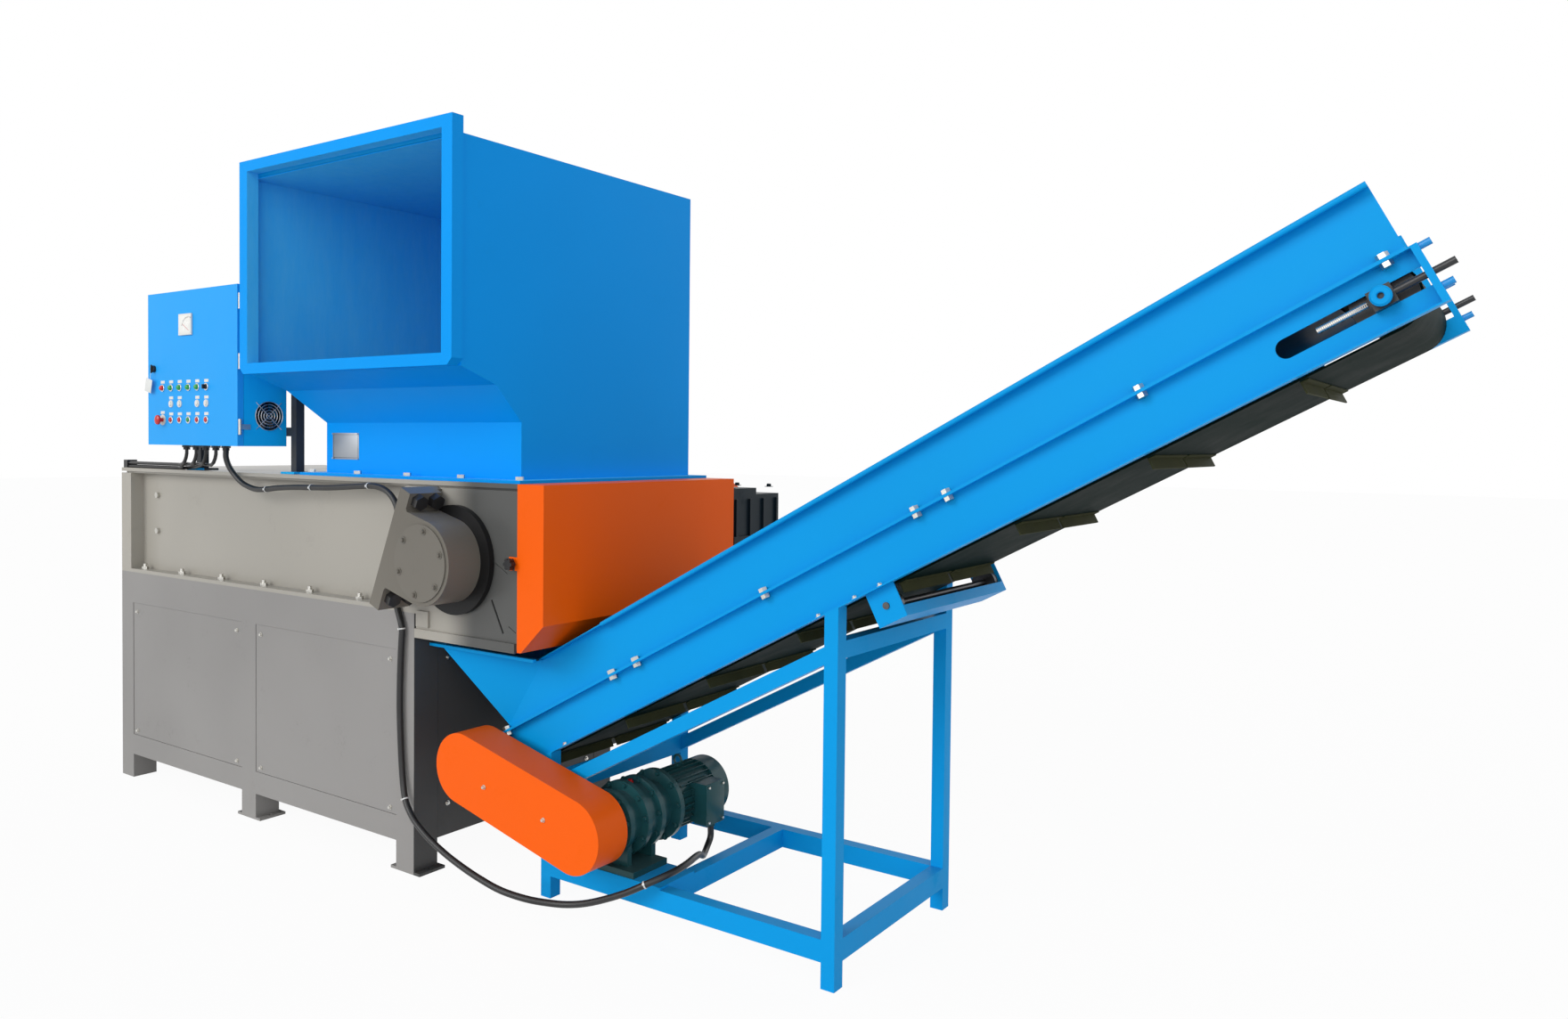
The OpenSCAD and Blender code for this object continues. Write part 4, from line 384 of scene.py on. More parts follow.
def cabinet_finish(name, colour):
    finish, board = new_finish(name)
    place, blue, cloud, rubbed = paint_layers(board, colour, 0.08, 0.96)
    gray = board.mix(srgb(52, 54, 57), srgb(70, 72, 74), board.noise(place, 3.0, 4))
    x, y, z = board.parts(place)
    behind = y > POSTS_Y
    hinge = (x > HINGES_X) * (y < HINGES_Y) * (z > GLANDS_Z)
    tone = board.mix(board.mix(blue, gray, behind), srgb(190, 189, 184), hinge)
    close_finish(
        board, Base_Color=tone, Metallic=hinge,
        Roughness=0.4 + (cloud - 0.5) * 0.2 + rubbed * 0.15, Specular_IOR_Level=0.15,
        Normal=board.bump(board.noise(place, 260.0, 2), 0.12, 0.0008),
    )
    return finish


cabinet_paint = cabinet_finish("cabinet_paint", srgb(18, 186, 252))
door_paint = cabinet_finish("door_paint", srgb(36, 166, 248))

# %% [markdown]
# ## Bare metal
# Shafts and knives are turned or ground, so fine lines run round or along them and the gloss
# changes with them. Zinc plating has a soft, uneven shine. Both are metals, so their colour is
# their reflection.

# %% Steel and zinc
def metal(name, colour, rough, lines=(1, 1, 1), scale=40.0, stain=0.2, bumped=0.15):
    finish, board = new_finish(name)
    place = board.place()
    turned = board.noise(board.stretch(place, lines), scale, 4, 0.7)
    spots = board.noise(place, 14.0, 5, 0.7)
    dull = tuple(c * 0.35 for c in colour[:3]) + (1,)
    tone = board.mix(colour, dull, board.between(spots, 0.52, 0.75) * stain)
    close_finish(
        board, Base_Color=tone, Metallic=1.0, Roughness=rough + (turned - 0.5) * 0.25,
        Normal=board.bump(turned, bumped, 0.0005),
    )
    return finish


END_PLATE_X = 4.05


def two_metals(name, first, second, side, low, high):
    """One finish up to low metres from the middle and another beyond high; side picks X or Y.

    The bolts in the conveyor's end plate were painted with it, and nothing else lies beyond it.
    """
    finish, board = new_finish(name)
    place = board.place()
    along = board.parts(place)[side]
    away = board.add("ShaderNodeMath", {"operation": "ABSOLUTE"}, {0: along})
    mask = board.between(away, low, high)
    spots = board.between(board.noise(place, 30.0, 5, 0.7), 0.5, 0.75) * 0.35
    dull = board.mix(board.mix(first, second, mask), srgb(60, 58, 54), spots)
    painted = board.parts(place)[0] > END_PLATE_X
    dull = board.mix(dull, srgb(8, 140, 212), painted)
    bare = 1 - mask if second[0] < first[0] else mask
    close_finish(
        board, Base_Color=dull, Metallic=bare * (1 - painted),
        Roughness=0.34 + spots * 0.5, Normal=board.bump(board.noise(place, 140.0, 3), 0.15, 0.0004),
    )
    return finish


SEAL_END = 0.5204


def cover_finish():
    """The bearing covers are painted, and the seal rings behind them are black rubber."""
    finish, board = new_finish("cover_and_seal")
    place, tone, cloud, rubbed = paint_layers(board, srgb(118, 114, 106), 0.35, 0.85)
    away = board.add("ShaderNodeMath", {"operation": "ABSOLUTE"}, {0: board.parts(place)[1]})
    rubber = board.mix(srgb(12, 12, 13), srgb(30, 30, 31), cloud)
    close_finish(
        board, Base_Color=board.mix(rubber, tone, board.between(away, SEAL_END, SEAL_END + 0.0004)),
        Roughness=0.42 + (cloud - 0.5) * 0.2 + rubbed * 0.1, Specular_IOR_Level=0.25,
        Normal=board.bump(board.noise(place, 260.0, 2), 0.12, 0.0008),
    )
    return finish


seal_and_cover = cover_finish()
bolt_finish = two_metals("bolt_finish", srgb(206, 204, 198), srgb(38, 38, 39), 1, 0.508, 0.512)
fan_finish = two_metals("fan_finish", srgb(24, 24, 26), srgb(214, 214, 212), 0, 0.1684, 0.1688)
ground_steel = metal("ground_steel", srgb(176, 176, 174), 0.32, (1, 14, 1))
dark_steel = metal("dark_steel", srgb(92, 92, 94), 0.42, (1, 10, 1), stain=0.5)
perforated_steel = metal("perforated_steel", srgb(120, 116, 110), 0.45, stain=0.6)
zinc = metal("zinc", srgb(206, 204, 198), 0.3, scale=120.0, stain=0.25)
chrome = metal("chrome", srgb(215, 216, 218), 0.14, scale=60.0, stain=0.05, bumped=0.04)
print("finishes so far:", len(bpy.data.materials))

# %% [markdown]
# ## Rubber and plastic
# The cable's jacket is smooth rubber with a dull shine. Moulded plastic knobs and the fan are
# black, with a fine grain. Small coloured parts, such as buttons and lamp lenses, are glossier.

# %% Rubber and plastic
def moulded(name, colour, rough, wear=0.3):
    finish, board = new_finish(name)
    place = board.place()
    mottle = board.noise(place, 22.0, 5, 0.6)
    skin = board.noise(place, 500.0, 2)
    paler = tuple(min(1, c * 1.35 + 0.03) for c in colour[:3]) + (1,)
    tone = board.mix(colour, paler, board.between(mottle, 0.5, 0.8) * wear)
    close_finish(
        board, Base_Color=tone, Roughness=rough + (mottle - 0.5) * 0.2,
        Normal=board.bump(skin, 0.1, 0.0004),
    )
    return finish


cable_rubber = moulded("cable_rubber", srgb(26, 26, 27), 0.42)
black_plastic = moulded("black_plastic", srgb(24, 24, 26), 0.4)
seal_rubber = moulded("seal_rubber", srgb(14, 14, 15), 0.55)
v_belt_rubber = moulded("v_belt_rubber", srgb(18, 18, 18), 0.6)
white_plastic = moulded("white_plastic", srgb(226, 226, 222), 0.3, wear=0.15)
red_plastic = moulded("red_plastic", srgb(196, 24, 22), 0.26, wear=0.2)
green_plastic = moulded("green_plastic", srgb(18, 140, 58), 0.26, wear=0.2)
tie_plastic = moulded("tie_plastic", srgb(222, 224, 222), 0.32, wear=0.1)
motor_lead.data.materials.append(cable_rubber)
print("with rubber and plastic:", len(bpy.data.materials))

# %% [markdown]
# ## The cleated belt
# The belt is one dark green rubber loop with a fine weave, and its cleats are olive. Both are one
# solid, so the finish works out each point's distance from the line between the two pulleys. What
# stands prouder than the belt's own surface is cleat.

# %% Belt
SLOPE = math.radians(27.8)
FOOT = Vector((1.508, 0, 0.796))
ALONG = Vector((math.cos(SLOPE), 0, math.sin(SLOPE)))
RISE = Vector((-math.sin(SLOPE), 0, math.cos(SLOPE)))


def on_slope(s, y, n):
    """A point from its distance along the conveyor and square to it."""
    point = FOOT + ALONG * s + RISE * n
    return Vector((point.x, y, point.z))


BELT_MIDDLE = -0.230
BELT_FACE = 0.0758
BELT_ENDS = (-0.34, 2.70)


def belt_finish():
    finish, board = new_finish("belt_rubber")
    place = board.place()
    x, y, z = board.parts(place)
    n = (z - FOOT.z) * ALONG.x - (x - FOOT.x) * ALONG.z
    s = (x - FOOT.x) * ALONG.x + (z - FOOT.z) * ALONG.z
    off = board.add("ShaderNodeMath", {"operation": "ABSOLUTE"}, {0: n - BELT_MIDDLE})
    inside = (s > BELT_ENDS[0]) * (s < BELT_ENDS[1])
    proud = board.between(off, BELT_FACE, BELT_FACE + 0.0008) * inside
    cloth = board.noise(place, 9.0, 5, 0.6)
    weave = board.add(
        "ShaderNodeTexWave", {"bands_direction": "Y"},
        {"Vector": place, "Scale": 90.0, "Distortion": 1.5, "Detail": 2.0},
    )
    green = board.mix(srgb(4, 17, 15), srgb(10, 33, 29), cloth)
    olive = board.mix(srgb(46, 50, 34), srgb(74, 76, 52), cloth)
    dust = board.between(board.noise(place, 3.0, 6, 0.7), 0.55, 0.85) * 0.06
    tone = board.mix(board.mix(green, olive, proud), srgb(60, 70, 64), dust)
    close_finish(
        board, Base_Color=tone, Roughness=0.6 + (cloth - 0.5) * 0.25, Specular_IOR_Level=0.02,
        Normal=board.bump(weave * 0.4 + cloth * 0.6, 0.25, 0.0006),
    )
    return finish


belt_rubber = belt_finish()
print("belt runs from", *[on_slope(s, 0, BELT_MIDDLE)[:] for s in BELT_ENDS])

# %% [markdown]
# ## Dress the CAD nodes
# A CAD node keeps its shape and gets a finish. The list reads as a paint plan of the machine.

# %% Give each CAD node its finish
def dress(finish, *nodes):
    for node in nodes:
        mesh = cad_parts[node].data
        if not mesh.materials:
            mesh.materials.append(finish)
        for i in range(len(mesh.materials)):
            mesh.materials[i] = finish


dress(frame_paint, "base_frame", "base_panels")
dress(wall_paint, "side_plate_near", "side_plate_far", "press_housing", "ram")
dress(bearing_paint, "bearing_brackets", "bearing_housings")
dress(seal_and_cover, "bearing_covers")
dress(hopper_paint, "hopper")
dress(blue_paint, "conveyor_frame", "skirt_boards", "return_guard", "conveyor_stand")
dress(door_paint, "cabinet_door")
dress(cabinet_paint, "cabinet_box")
dress(orange_paint, "front_cover", "belt_guard", "chain_guard")
dress(motor_paint, "main_motor", "gear_reducer", "drive_motor")
dress(gearbox_paint, "rotor_gearbox", "hydraulics", "gearbox_pulley", "motor_pulley")
dress(ground_steel, "counter_knives", "piston_rods", "rotor_knives", "rotor_bearings")
dress(shaft_paint, "head_pulley", "take_up_blocks")
dress(dark_steel, "tail_pulley", "return_roller", "drive_sprocket", "chain", "rotor_drum")
dress(perforated_steel, "screen")
dress(black_plastic, "star_knob_near", "star_knob_far", "fan_impeller", "selector_switch")
dress(fan_finish, "fan_frame")
dress(black_plastic, "door_lock", "conduits")
dress(belt_rubber, "belt")
dress(v_belt_rubber, "v_belts")
dress(bolt_finish, "fasteners")
dress(chrome, "door_fittings")
dress(white_plastic, *[f"push_button_{i}" for i in range(1, 5)])
dress(red_plastic, *[f"push_button_{i}" for i in (5, 6, 8, 9)], "emergency_stop")
dress(green_plastic, "push_button_7")
undressed = [node for node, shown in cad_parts.items() if not shown.data.materials]
print("nodes without a finish:", undressed)

# %% [markdown]
# ## Bolts from one node tree
# The machine has bolts of many sizes, and all of them have the same parts: a washer, a head with
# a chamfer and sometimes the end of a thread. So one Geometry Nodes tree draws a bolt from five
# sizes and puts it on every point of a mesh, turned to that point's own axis. With 6 sides it is
# a hexagon head, and with 16 it is a round screw head.

# %% The bolt tree
def new_tree(name, **inputs):
    """A geometry tree with named inputs; returns its board and its input node."""
    tree = bpy.data.node_groups.new(name, "GeometryNodeTree")
    tree.interface.new_socket("Geometry", in_out="INPUT", socket_type="NodeSocketGeometry")
    tree.interface.new_socket("Geometry", in_out="OUTPUT", socket_type="NodeSocketGeometry")
    for words, kind in inputs.items():
        tree.interface.new_socket(words, in_out="INPUT", socket_type="NodeSocket" + kind)
    board = Board(tree)
    return board, board.add("NodeGroupInput")


def close_tree(board, points, shape, finish):
    """Puts the shape on the points, turned to their axes, and ends the tree in a real mesh."""
    axis = board.add(
        "GeometryNodeInputNamedAttribute", {"data_type": "FLOAT_VECTOR"}, {"Name": "axis"}
    )
    turn = board.add("FunctionNodeAlignRotationToVector", {"axis": "Z"}, {"Vector": axis})
    copies = board.add(
        "GeometryNodeInstanceOnPoints",
        sockets={"Points": points, "Instance": shape, "Rotation": turn},
    )
    real = board.add("GeometryNodeRealizeInstances", sockets={"Geometry": copies})
    painted = board.add("GeometryNodeSetMaterial", sockets={"Geometry": real, "Material": finish})
    board.add("NodeGroupOutput", sockets={"Geometry": painted})
    return board.tree


WASHER_THICK = 0.002
CORNER = 0.5774  # a hexagon's corner radius over its width across the flats


def bolt_tree():
    board, given = new_tree(
        "bolts", Finish="Material", Across="Float", Height="Float", Washer="Float", Stud="Float",
        Sides="Int",
    )
    radius = given.of("Across") * CORNER
    height, sides = given.of("Height"), given.of("Sides")
    head = board.add(
        "GeometryNodeMeshCylinder",
        sockets={"Vertices": sides, "Radius": radius, "Depth": height * 0.7},
    )
    head = lifted(board, head, height * 0.35 + WASHER_THICK)
    crown = board.add(
        "GeometryNodeMeshCone",
        sockets={"Vertices": sides, "Radius Top": radius * 0.82, "Radius Bottom": radius * 0.99,
                 "Depth": height * 0.35},
    )
    crown = lifted(board, crown, height * 0.65 + WASHER_THICK)
    washer = board.add(
        "GeometryNodeMeshCylinder",
        sockets={"Vertices": 20, "Radius": given.of("Washer") * 0.5, "Depth": WASHER_THICK},
    )
    stud = board.add(
        "GeometryNodeMeshCylinder",
        sockets={"Vertices": 12, "Radius": given.of("Across") * 0.3, "Depth": given.of("Stud")},
    )
    stud = lifted(board, stud, height + given.of("Stud") * 0.5)
    stud = board.add(
        "GeometryNodeSwitch", {"input_type": "GEOMETRY"}, {0: given.of("Stud") > 0, 2: stud}
    )
    washer = lifted(board, washer, WASHER_THICK / 2)
    whole = board.add(
        "GeometryNodeJoinGeometry", sockets={"Geometry": [head, crown, washer, stud]}
    )
    return close_tree(board, given.of("Geometry"), whole, given.of("Finish"))


def lifted(board, shape, up):
    """The shape moved along Z."""
    move = board.add("ShaderNodeCombineXYZ", sockets={"Z": up})
    return board.add("GeometryNodeTransform", sockets={"Geometry": shape, "Translation": move})


BOLTS = bolt_tree()
print("bolt tree:", len(BOLTS.nodes), "nodes")

# %% [markdown]
# ## From a tree to a finished piece
# A tree works on an object through a modifier. Its inputs are set by their identifiers, and then
# the evaluated object is copied into a plain mesh, which is what rides on a body.

# %% Grow a piece
NEAR, END, UP = (0, -1, 0), (1, 0, 0), (0, 0, 1)


def points_mesh(name, places):
    """A mesh of loose points with an axis for each; places are (point, axis) pairs."""
    mesh = bpy.data.meshes.new(name)
    mesh.from_pydata([tuple(point) for point, axis in places], [], [])
    axes = mesh.attributes.new("axis", "FLOAT_VECTOR", "POINT")
    for slot, (point, axis) in zip(axes.data, places):
        slot.vector = axis
    return mesh


def grow(name, body, tree, places, slot, **values):
    """A piece that the tree makes on the places, with the tree's inputs given by their names."""
    seed = bpy.data.objects.new(name + "_seed", points_mesh(name + "_points", places))
    bpy.context.scene.collection.objects.link(seed)
    modifier = seed.modifiers.new("grow", "NODES")
    modifier.node_group = tree
    for item in tree.interface.items_tree:
        if item.in_out == "INPUT" and item.name in values:
            modifier[item.identifier] = values[item.name]
    shown = seed.evaluated_get(bpy.context.evaluated_depsgraph_get())
    mesh = bpy.data.meshes.new_from_object(shown)
    bpy.data.objects.remove(seed)
    piece = bpy.data.objects.new(name, mesh)
    bpy.context.scene.collection.objects.link(piece)
    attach(piece, body)
    print(name + ":", len(places), "places,", len(mesh.polygons), "faces")
    return piece


def bolts(name, places, across, washer=1.9, stud=0.0, sides=6, finish=zinc, slot="zinc"):
    """Bolts whose washer and stud are shares of the width across the flats."""
    grow(name, "machine", BOLTS, places, slot, Finish=finish, Across=across, Height=across * 0.6,
         Washer=across * washer, Stud=across * stud, Sides=sides)


def ring_of(x, y, z, radius, count, start):
    """Places on a circle about a line along Y, seen from the near side."""
    turns = [math.radians(start + 360 * i / count) for i in range(count)]
    return [((x + radius * math.cos(t), y, z + radius * math.sin(t)), NEAR) for t in turns]


# %% [markdown]
# ## Where the bolts go
# The big nuts of the flanges are CAD solids. These are the smaller ones that the photograph
# shows: on the bearing covers, round the gear reducer's flanges, on the chain guard, on the sheet
# panels and along the conveyor's lower flange.

# %% Bolts and screws
ROTOR_X, ROTOR_Z = 1.264, 1.131
SPROCKET_X, SPROCKET_Z = 1.8241, 0.3039
bolts("cover_screws", ring_of(ROTOR_X, -0.655, ROTOR_Z, 0.108, 6, 18), 0.013,
      finish=bearing_paint, slot="chamber_gray")
reducer = []
for y, radius, count in ((-0.355, 0.094, 8), (-0.289, 0.110, 10), (-0.221, 0.110, 10),
                         (-0.125, 0.110, 10)):
    reducer += ring_of(SPROCKET_X, y, SPROCKET_Z, radius, count, 9)
bolts("reducer_bolts", reducer, 0.014, finish=motor_paint, slot="drive_teal")
guard = [((1.428, -0.520, 0.389), NEAR), ((1.706, -0.520, 0.335), NEAR)]
bolts("guard_bolts", guard, 0.011, washer=1.4, stud=0.3)
lower_flange = [(tuple(on_slope(s, y, -0.296)), tuple(RISE))
                for s in (-0.153, -0.019, 1.103, 1.236, 1.325) for y in (-0.349, 0.349)]
bolts("lower_bolts", lower_flange, 0.011)
panel_screws = [((x, side * 0.498, z), (0, side, 0)) for side in (-1, 1)
                for x in (-0.892, -0.086, 0.086, 0.906) for z in (0.216, 0.751)]
panel_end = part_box("base_panels")[1][0]
panel_screws += [((panel_end, y, z), END) for y in (-0.355, 0.355) for z in (0.220, 0.751)]
bolts("panel_screws", panel_screws, 0.011, sides=16, washer=1.6)
box_screws = [((1.98, y, z), END) for y in (-0.022, 0.054) for z in (0.242, 0.362)]
bolts("terminal_screws", box_screws, 0.008, sides=16, washer=1.1)
gearbox_lid = [((x, y, 1.347), UP) for x in (1.03, 1.2, 1.36, 1.53) for y in (0.69, 0.96)]
bolts("gearbox_bolts", gearbox_lid, 0.019, finish=gearbox_paint, slot="drive_teal")

# %% [markdown]
# ## Turned and edged pieces
# Knobs, rings, lamps and lenses are outlines turned about an axis. Plates and lids are blocks
# whose edges are slightly rounded, because a real sheet or moulding never has a perfectly sharp
# edge. One small class collects such shapes in one mesh, with a finish for each.

# %% Pieces from outlines and blocks
class Piece:
    """One mesh that collects shapes, each with its finish."""

    def __init__(self, name):
        self.name, self.mesh, self.finishes = name, bmesh.new(), []
        self.painted = self.mesh.faces.layers.int.new("painted")

    def paint(self, finish):
        """Gives the finish to the faces that have none yet."""
        if finish not in self.finishes:
            self.finishes.append(finish)
        for face in self.mesh.faces:
            if not face[self.painted]:
                face.material_index = self.finishes.index(finish)
                face[self.painted] = 1
        return self

    def turn(self, centre, axis, outline, finish, sides=32):
        """outline lists (radius, height) from the bottom, outside, to the top."""
        aim = Vector((0, 0, 1)).rotation_difference(Vector(axis))
        rings = []
        for radius, height in outline:
            turns = [2 * math.pi * i / sides for i in range(sides if radius else 1)]
            around = [Vector((radius * math.cos(t), radius * math.sin(t), height)) for t in turns]
            rings.append([self.mesh.verts.new(Vector(centre) + aim @ spot) for spot in around])
        for low, high in zip(rings, rings[1:]):
            for i in range(sides):
                ends = (low[i % len(low)], low[(i + 1) % len(low)])
                tops = (high[(i + 1) % len(high)], high[i % len(high)])
                corners = list(dict.fromkeys(ends + tops))
                if len(corners) > 2:
                    self.mesh.faces.new(corners)
        own = [vert for ring in rings for vert in ring]
        bmesh.ops.remove_doubles(self.mesh, verts=own, dist=1e-6)
        return self.paint(finish)

    def block(self, low, high, finish, edge=0.001, place=Matrix()):
        """A box between two corners with rounded edges."""
        made = bmesh.ops.create_cube(self.mesh, size=1)["verts"]
        low, high = Vector(low), Vector(high)
        for vert in made:
            share = vert.co + Vector((0.5, 0.5, 0.5))
            vert.co = place @ Vector([a + s * (b - a) for a, s, b in zip(low, share, high)])
        edges = list({line for vert in made for line in vert.link_edges})
        bmesh.ops.bevel(self.mesh, geom=edges, offset=edge, segments=2, affect="EDGES", profile=0.5)
        return self.paint(finish)

    def done(self, body, slot, *replaced):
        """Turns the shapes into an object that rides on the body."""
        mesh = bpy.data.meshes.new(self.name)
        self.mesh.to_mesh(mesh)
        self.mesh.free()
        for finish in self.finishes:
            mesh.materials.append(finish)
        mesh.shade_smooth()
        mesh.set_sharp_from_angle(angle=math.radians(32))
        piece = bpy.data.objects.new(self.name, mesh)
        bpy.context.scene.collection.objects.link(piece)
        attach(piece, body)
        if replaced:
            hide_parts(*replaced)
        print(self.name + ":", len(mesh.polygons), "faces")


# %% [markdown]
# ## The controls on the door
# Three rows of fittings fill the door's lower half. Every fitting has a metal ring and a white
# plate above it. The top row holds one red lamp, four green ones and the black selector, the
# middle row four white buttons, and the bottom row the emergency stop and five coloured buttons.

# %% Rings, lamps and plates
FACE = -0.641
COLUMNS = [-0.385 + 0.0665 * i for i in range(6)]
ROWS = (1.735, 1.670, 1.605)
BUTTONS = [(1, 1), (2, 1), (4, 1), (5, 1), (1, 2), (2, 2), (3, 2), (4, 2), (5, 2)]
green_glass = moulded("green_glass", srgb(30, 160, 70), 0.12, wear=0.1)
red_glass = moulded("red_glass", srgb(214, 36, 30), 0.12, wear=0.1)
dial_white = moulded("dial_white", srgb(238, 238, 234), 0.25, wear=0.05)
ring_outline = [(0.0092, 0), (0.015, 0), (0.015, 0.0035), (0.0137, 0.005), (0.0105, 0.005),
                (0.0092, 0.0035), (0.0092, 0)]
stop_ring = [(0.0085, 0), (0.022, 0), (0.022, 0.002), (0.0085, 0.002), (0.0085, 0)]
lens = [(0, 0.004), (0.0105, 0.004), (0.0105, 0.007), (0.0098, 0.0100), (0.0075, 0.0125),
        (0.004, 0.0138), (0, 0.0142)]


def spot(column, row):
    """A fitting's middle on the door's face."""
    return (COLUMNS[column], FACE, ROWS[row])


def label_plate(piece, x, low):
    """A bare white plate, 30 by 12 mm, on the door."""
    piece.block((x - 0.015, FACE - 0.0012, low), (x + 0.015, FACE, low + 0.012), white_plastic,
                edge=0.0004)


panel = Piece("door_controls")
for c, r in [(c, 0) for c in range(6)] + BUTTONS:
    panel.turn(spot(c, r), NEAR, ring_outline, white_plastic if r == 1 else chrome)
    label_plate(panel, COLUMNS[c], ROWS[r] + 0.018)
for c in range(5):
    panel.turn(spot(c, 0), NEAR, lens, red_glass if c == 0 else green_glass)
panel.turn(spot(0, 2), NEAR, stop_ring, white_plastic)
label_plate(panel, COLUMNS[0], 1.629)
print("door plates:", len(BUTTONS) + 7)

# %% [markdown]
# ## The ammeter
# A white square with 21 black marks on a quarter circle and a red needle. The marks and the
# needle are thin blocks turned about the same corner of the dial. The longer mark is every fifth.

# %% The dial
dial_corner = Vector((-0.172, FACE - 0.0088, 1.962))
panel.block((-0.250, FACE - 0.008, 1.943), (-0.154, FACE, 2.029), white_plastic, edge=0.002)
panel.block((-0.243, FACE - 0.0088, 1.950), (-0.161, FACE - 0.0078, 2.022), dial_white, edge=0.0003)
for i in range(21):
    end = 0.058 if i % 5 == 0 else 0.054
    swing = Matrix.Rotation(-math.radians(67.5 + i * 4.5), 4, "Y")
    panel.block((0.050, -0.0004, -0.0004), (end, 0, 0.0004), black_plastic, 0.0001,
                place=Matrix.Translation(dial_corner) @ swing)
needle = Matrix.Translation(dial_corner + Vector((0, -0.0006, 0)))
needle = needle @ Matrix.Rotation(-math.radians(150), 4, "Y")
panel.block((-0.004, 0, -0.0005), (0.050, 0.0005, 0.0005), red_plastic, 0.0001, place=needle)
panel.done("cabinet_door", "fittings_metal", "door_fittings")

# %% [markdown]
# ## Buttons and the emergency stop
# Each button's cap moves on its own, so it is a piece of its own. The emergency stop is a red
# mushroom on a short stem.

# %% Caps and mushroom
cap = [(0, -0.02), (0.0088, -0.02), (0.0088, 0.0060), (0.0082, 0.0074), (0.0068, 0.0080),
       (0, 0.0082)]
white, green, red = [(white_plastic, "white_button"), (green_plastic, "green_button"),
                     (red_plastic, "red_button")]
for i, (c, r) in enumerate(BUTTONS, 1):
    finish, slot = white if r == 1 else green if i == 7 else red
    button = Piece(f"button_cap_{i}").turn(spot(c, r), NEAR, cap, finish)
    button.done(f"push_button_{i}", slot, f"push_button_{i}")
mushroom = [(0, -0.02), (0.0078, -0.02), (0.0078, 0.012), (0.012, 0.016), (0.0195, 0.0185),
            (0.020, 0.0215), (0.0185, 0.0255), (0.013, 0.0285), (0.006, 0.0298), (0, 0.030)]
stop = Piece("stop_mushroom").turn(spot(0, 2), NEAR, mushroom, red_plastic, 40)
stop.done("emergency_stop", "red_button", "emergency_stop")

# %% [markdown]
# ## The lock's tag, the bare plate and the cable ties
# A white paper tag hangs on the door lock and a bare aluminium plate is riveted to the hopper.
# White ties hold the cables. A tie is a flat band round the cable, with a small square head.

# %% Bare plate
plate_metal = metal("plate_metal", srgb(168, 172, 176), 0.5, (1, 1, 30), stain=0.1)
plate = Piece("bare_plate")
plate.block((0.432, -0.4116, 1.457), (0.595, -0.410, 1.558), plate_metal, 0.0005)
for low, high in (((0.438, 1.463), (0.589, 1.4642)), ((0.438, 1.5508), (0.589, 1.552)),
                  ((0.438, 1.4643), (0.4392, 1.5507)), ((0.5878, 1.4643), (0.589, 1.5507))):
    plate.block((low[0], -0.4119, low[1]), (high[0], -0.4115, high[1]), gearbox_paint, 0.0001)
plate.done("machine", "fittings_metal")
rivets = [((x, -0.4114, z), NEAR) for x in (0.4355, 0.5915) for z in (1.4605, 1.5545)]
bolts("plate_rivets", rivets, 0.005, sides=16, washer=1.1)


# %% Cable ties
def tie_tree():
    board, given = new_tree("cable_ties", Finish="Material", Radius="Float", Width="Float")
    width = given.of("Width")
    loop = board.add(
        "GeometryNodeCurvePrimitiveCircle",
        sockets={"Resolution": 24, "Radius": given.of("Radius")},
    )
    strip = board.add(
        "GeometryNodeCurvePrimitiveQuadrilateral", sockets={"Width": 0.0012, "Height": width}
    )
    band = board.add("GeometryNodeCurveToMesh", sockets={"Curve": loop, "Profile Curve": strip})
    size = board.add(
        "ShaderNodeCombineXYZ", sockets={"X": width * 1.4, "Y": width * 1.3, "Z": width * 1.3}
    )
    head = board.add("GeometryNodeMeshCube", sockets={"Size": size})
    side = board.add("ShaderNodeCombineXYZ", sockets={"Y": 0 - given.of("Radius")})
    head = board.add("GeometryNodeTransform", sockets={"Geometry": head, "Translation": side})
    whole = board.add("GeometryNodeJoinGeometry", sockets={"Geometry": [band, head]})
    return close_tree(board, given.of("Geometry"), whole, given.of("Finish"))


def near_cable(x, z):
    """The cable's point and direction nearest to a place seen from the front."""
    wanted = Vector((x, z))
    i = min(range(1, len(cable_line) - 1), key=lambda n: (cable_line[n].xz - wanted).length)
    return tuple(cable_line[i]), tuple((cable_line[i + 1] - cable_line[i - 1]).normalized())


tie_places = [near_cable(x, z) for x, z in ((0.15, 1.334), (0.45, 1.35), (0.8, 1.367),
                                            (0.992, 0.870), (1.021, 0.274), (2.035, 0.168))]
grow("cable_ties", "machine", tie_tree(), tie_places, "white_button", Finish=tie_plastic,
     Radius=CABLE_WIDTH / 2 + 0.0008, Width=0.005)

# %% Lock's tag
tag = Piece("lock_tag")
hang = Matrix.Translation((-0.453, FACE - 0.016, 1.802)) @ Matrix.Rotation(math.radians(14), 4, "Y")
tag.block((-0.001, 0.001, -0.03), (0.001, 0.002, 0.0), tie_plastic, 0.0003, place=hang)
tag.block((-0.028, 0, -0.085), (0.022, 0.001, -0.03), tie_plastic, 0.0004, place=hang)
tag.done("cabinet_door", "white_button")

# %% [markdown]
# ## Small parts of the drive and the conveyor's head
# The gear motor's terminal box has a screwed lid, and two red plugs close the reducer's oil
# holes. At the conveyor's head a blue eye holds the shaft's end, and a bright screw runs along
# the slot to it. A folded strip closes the step between the hopper's top sheet and the upper bar
# of its mouth.

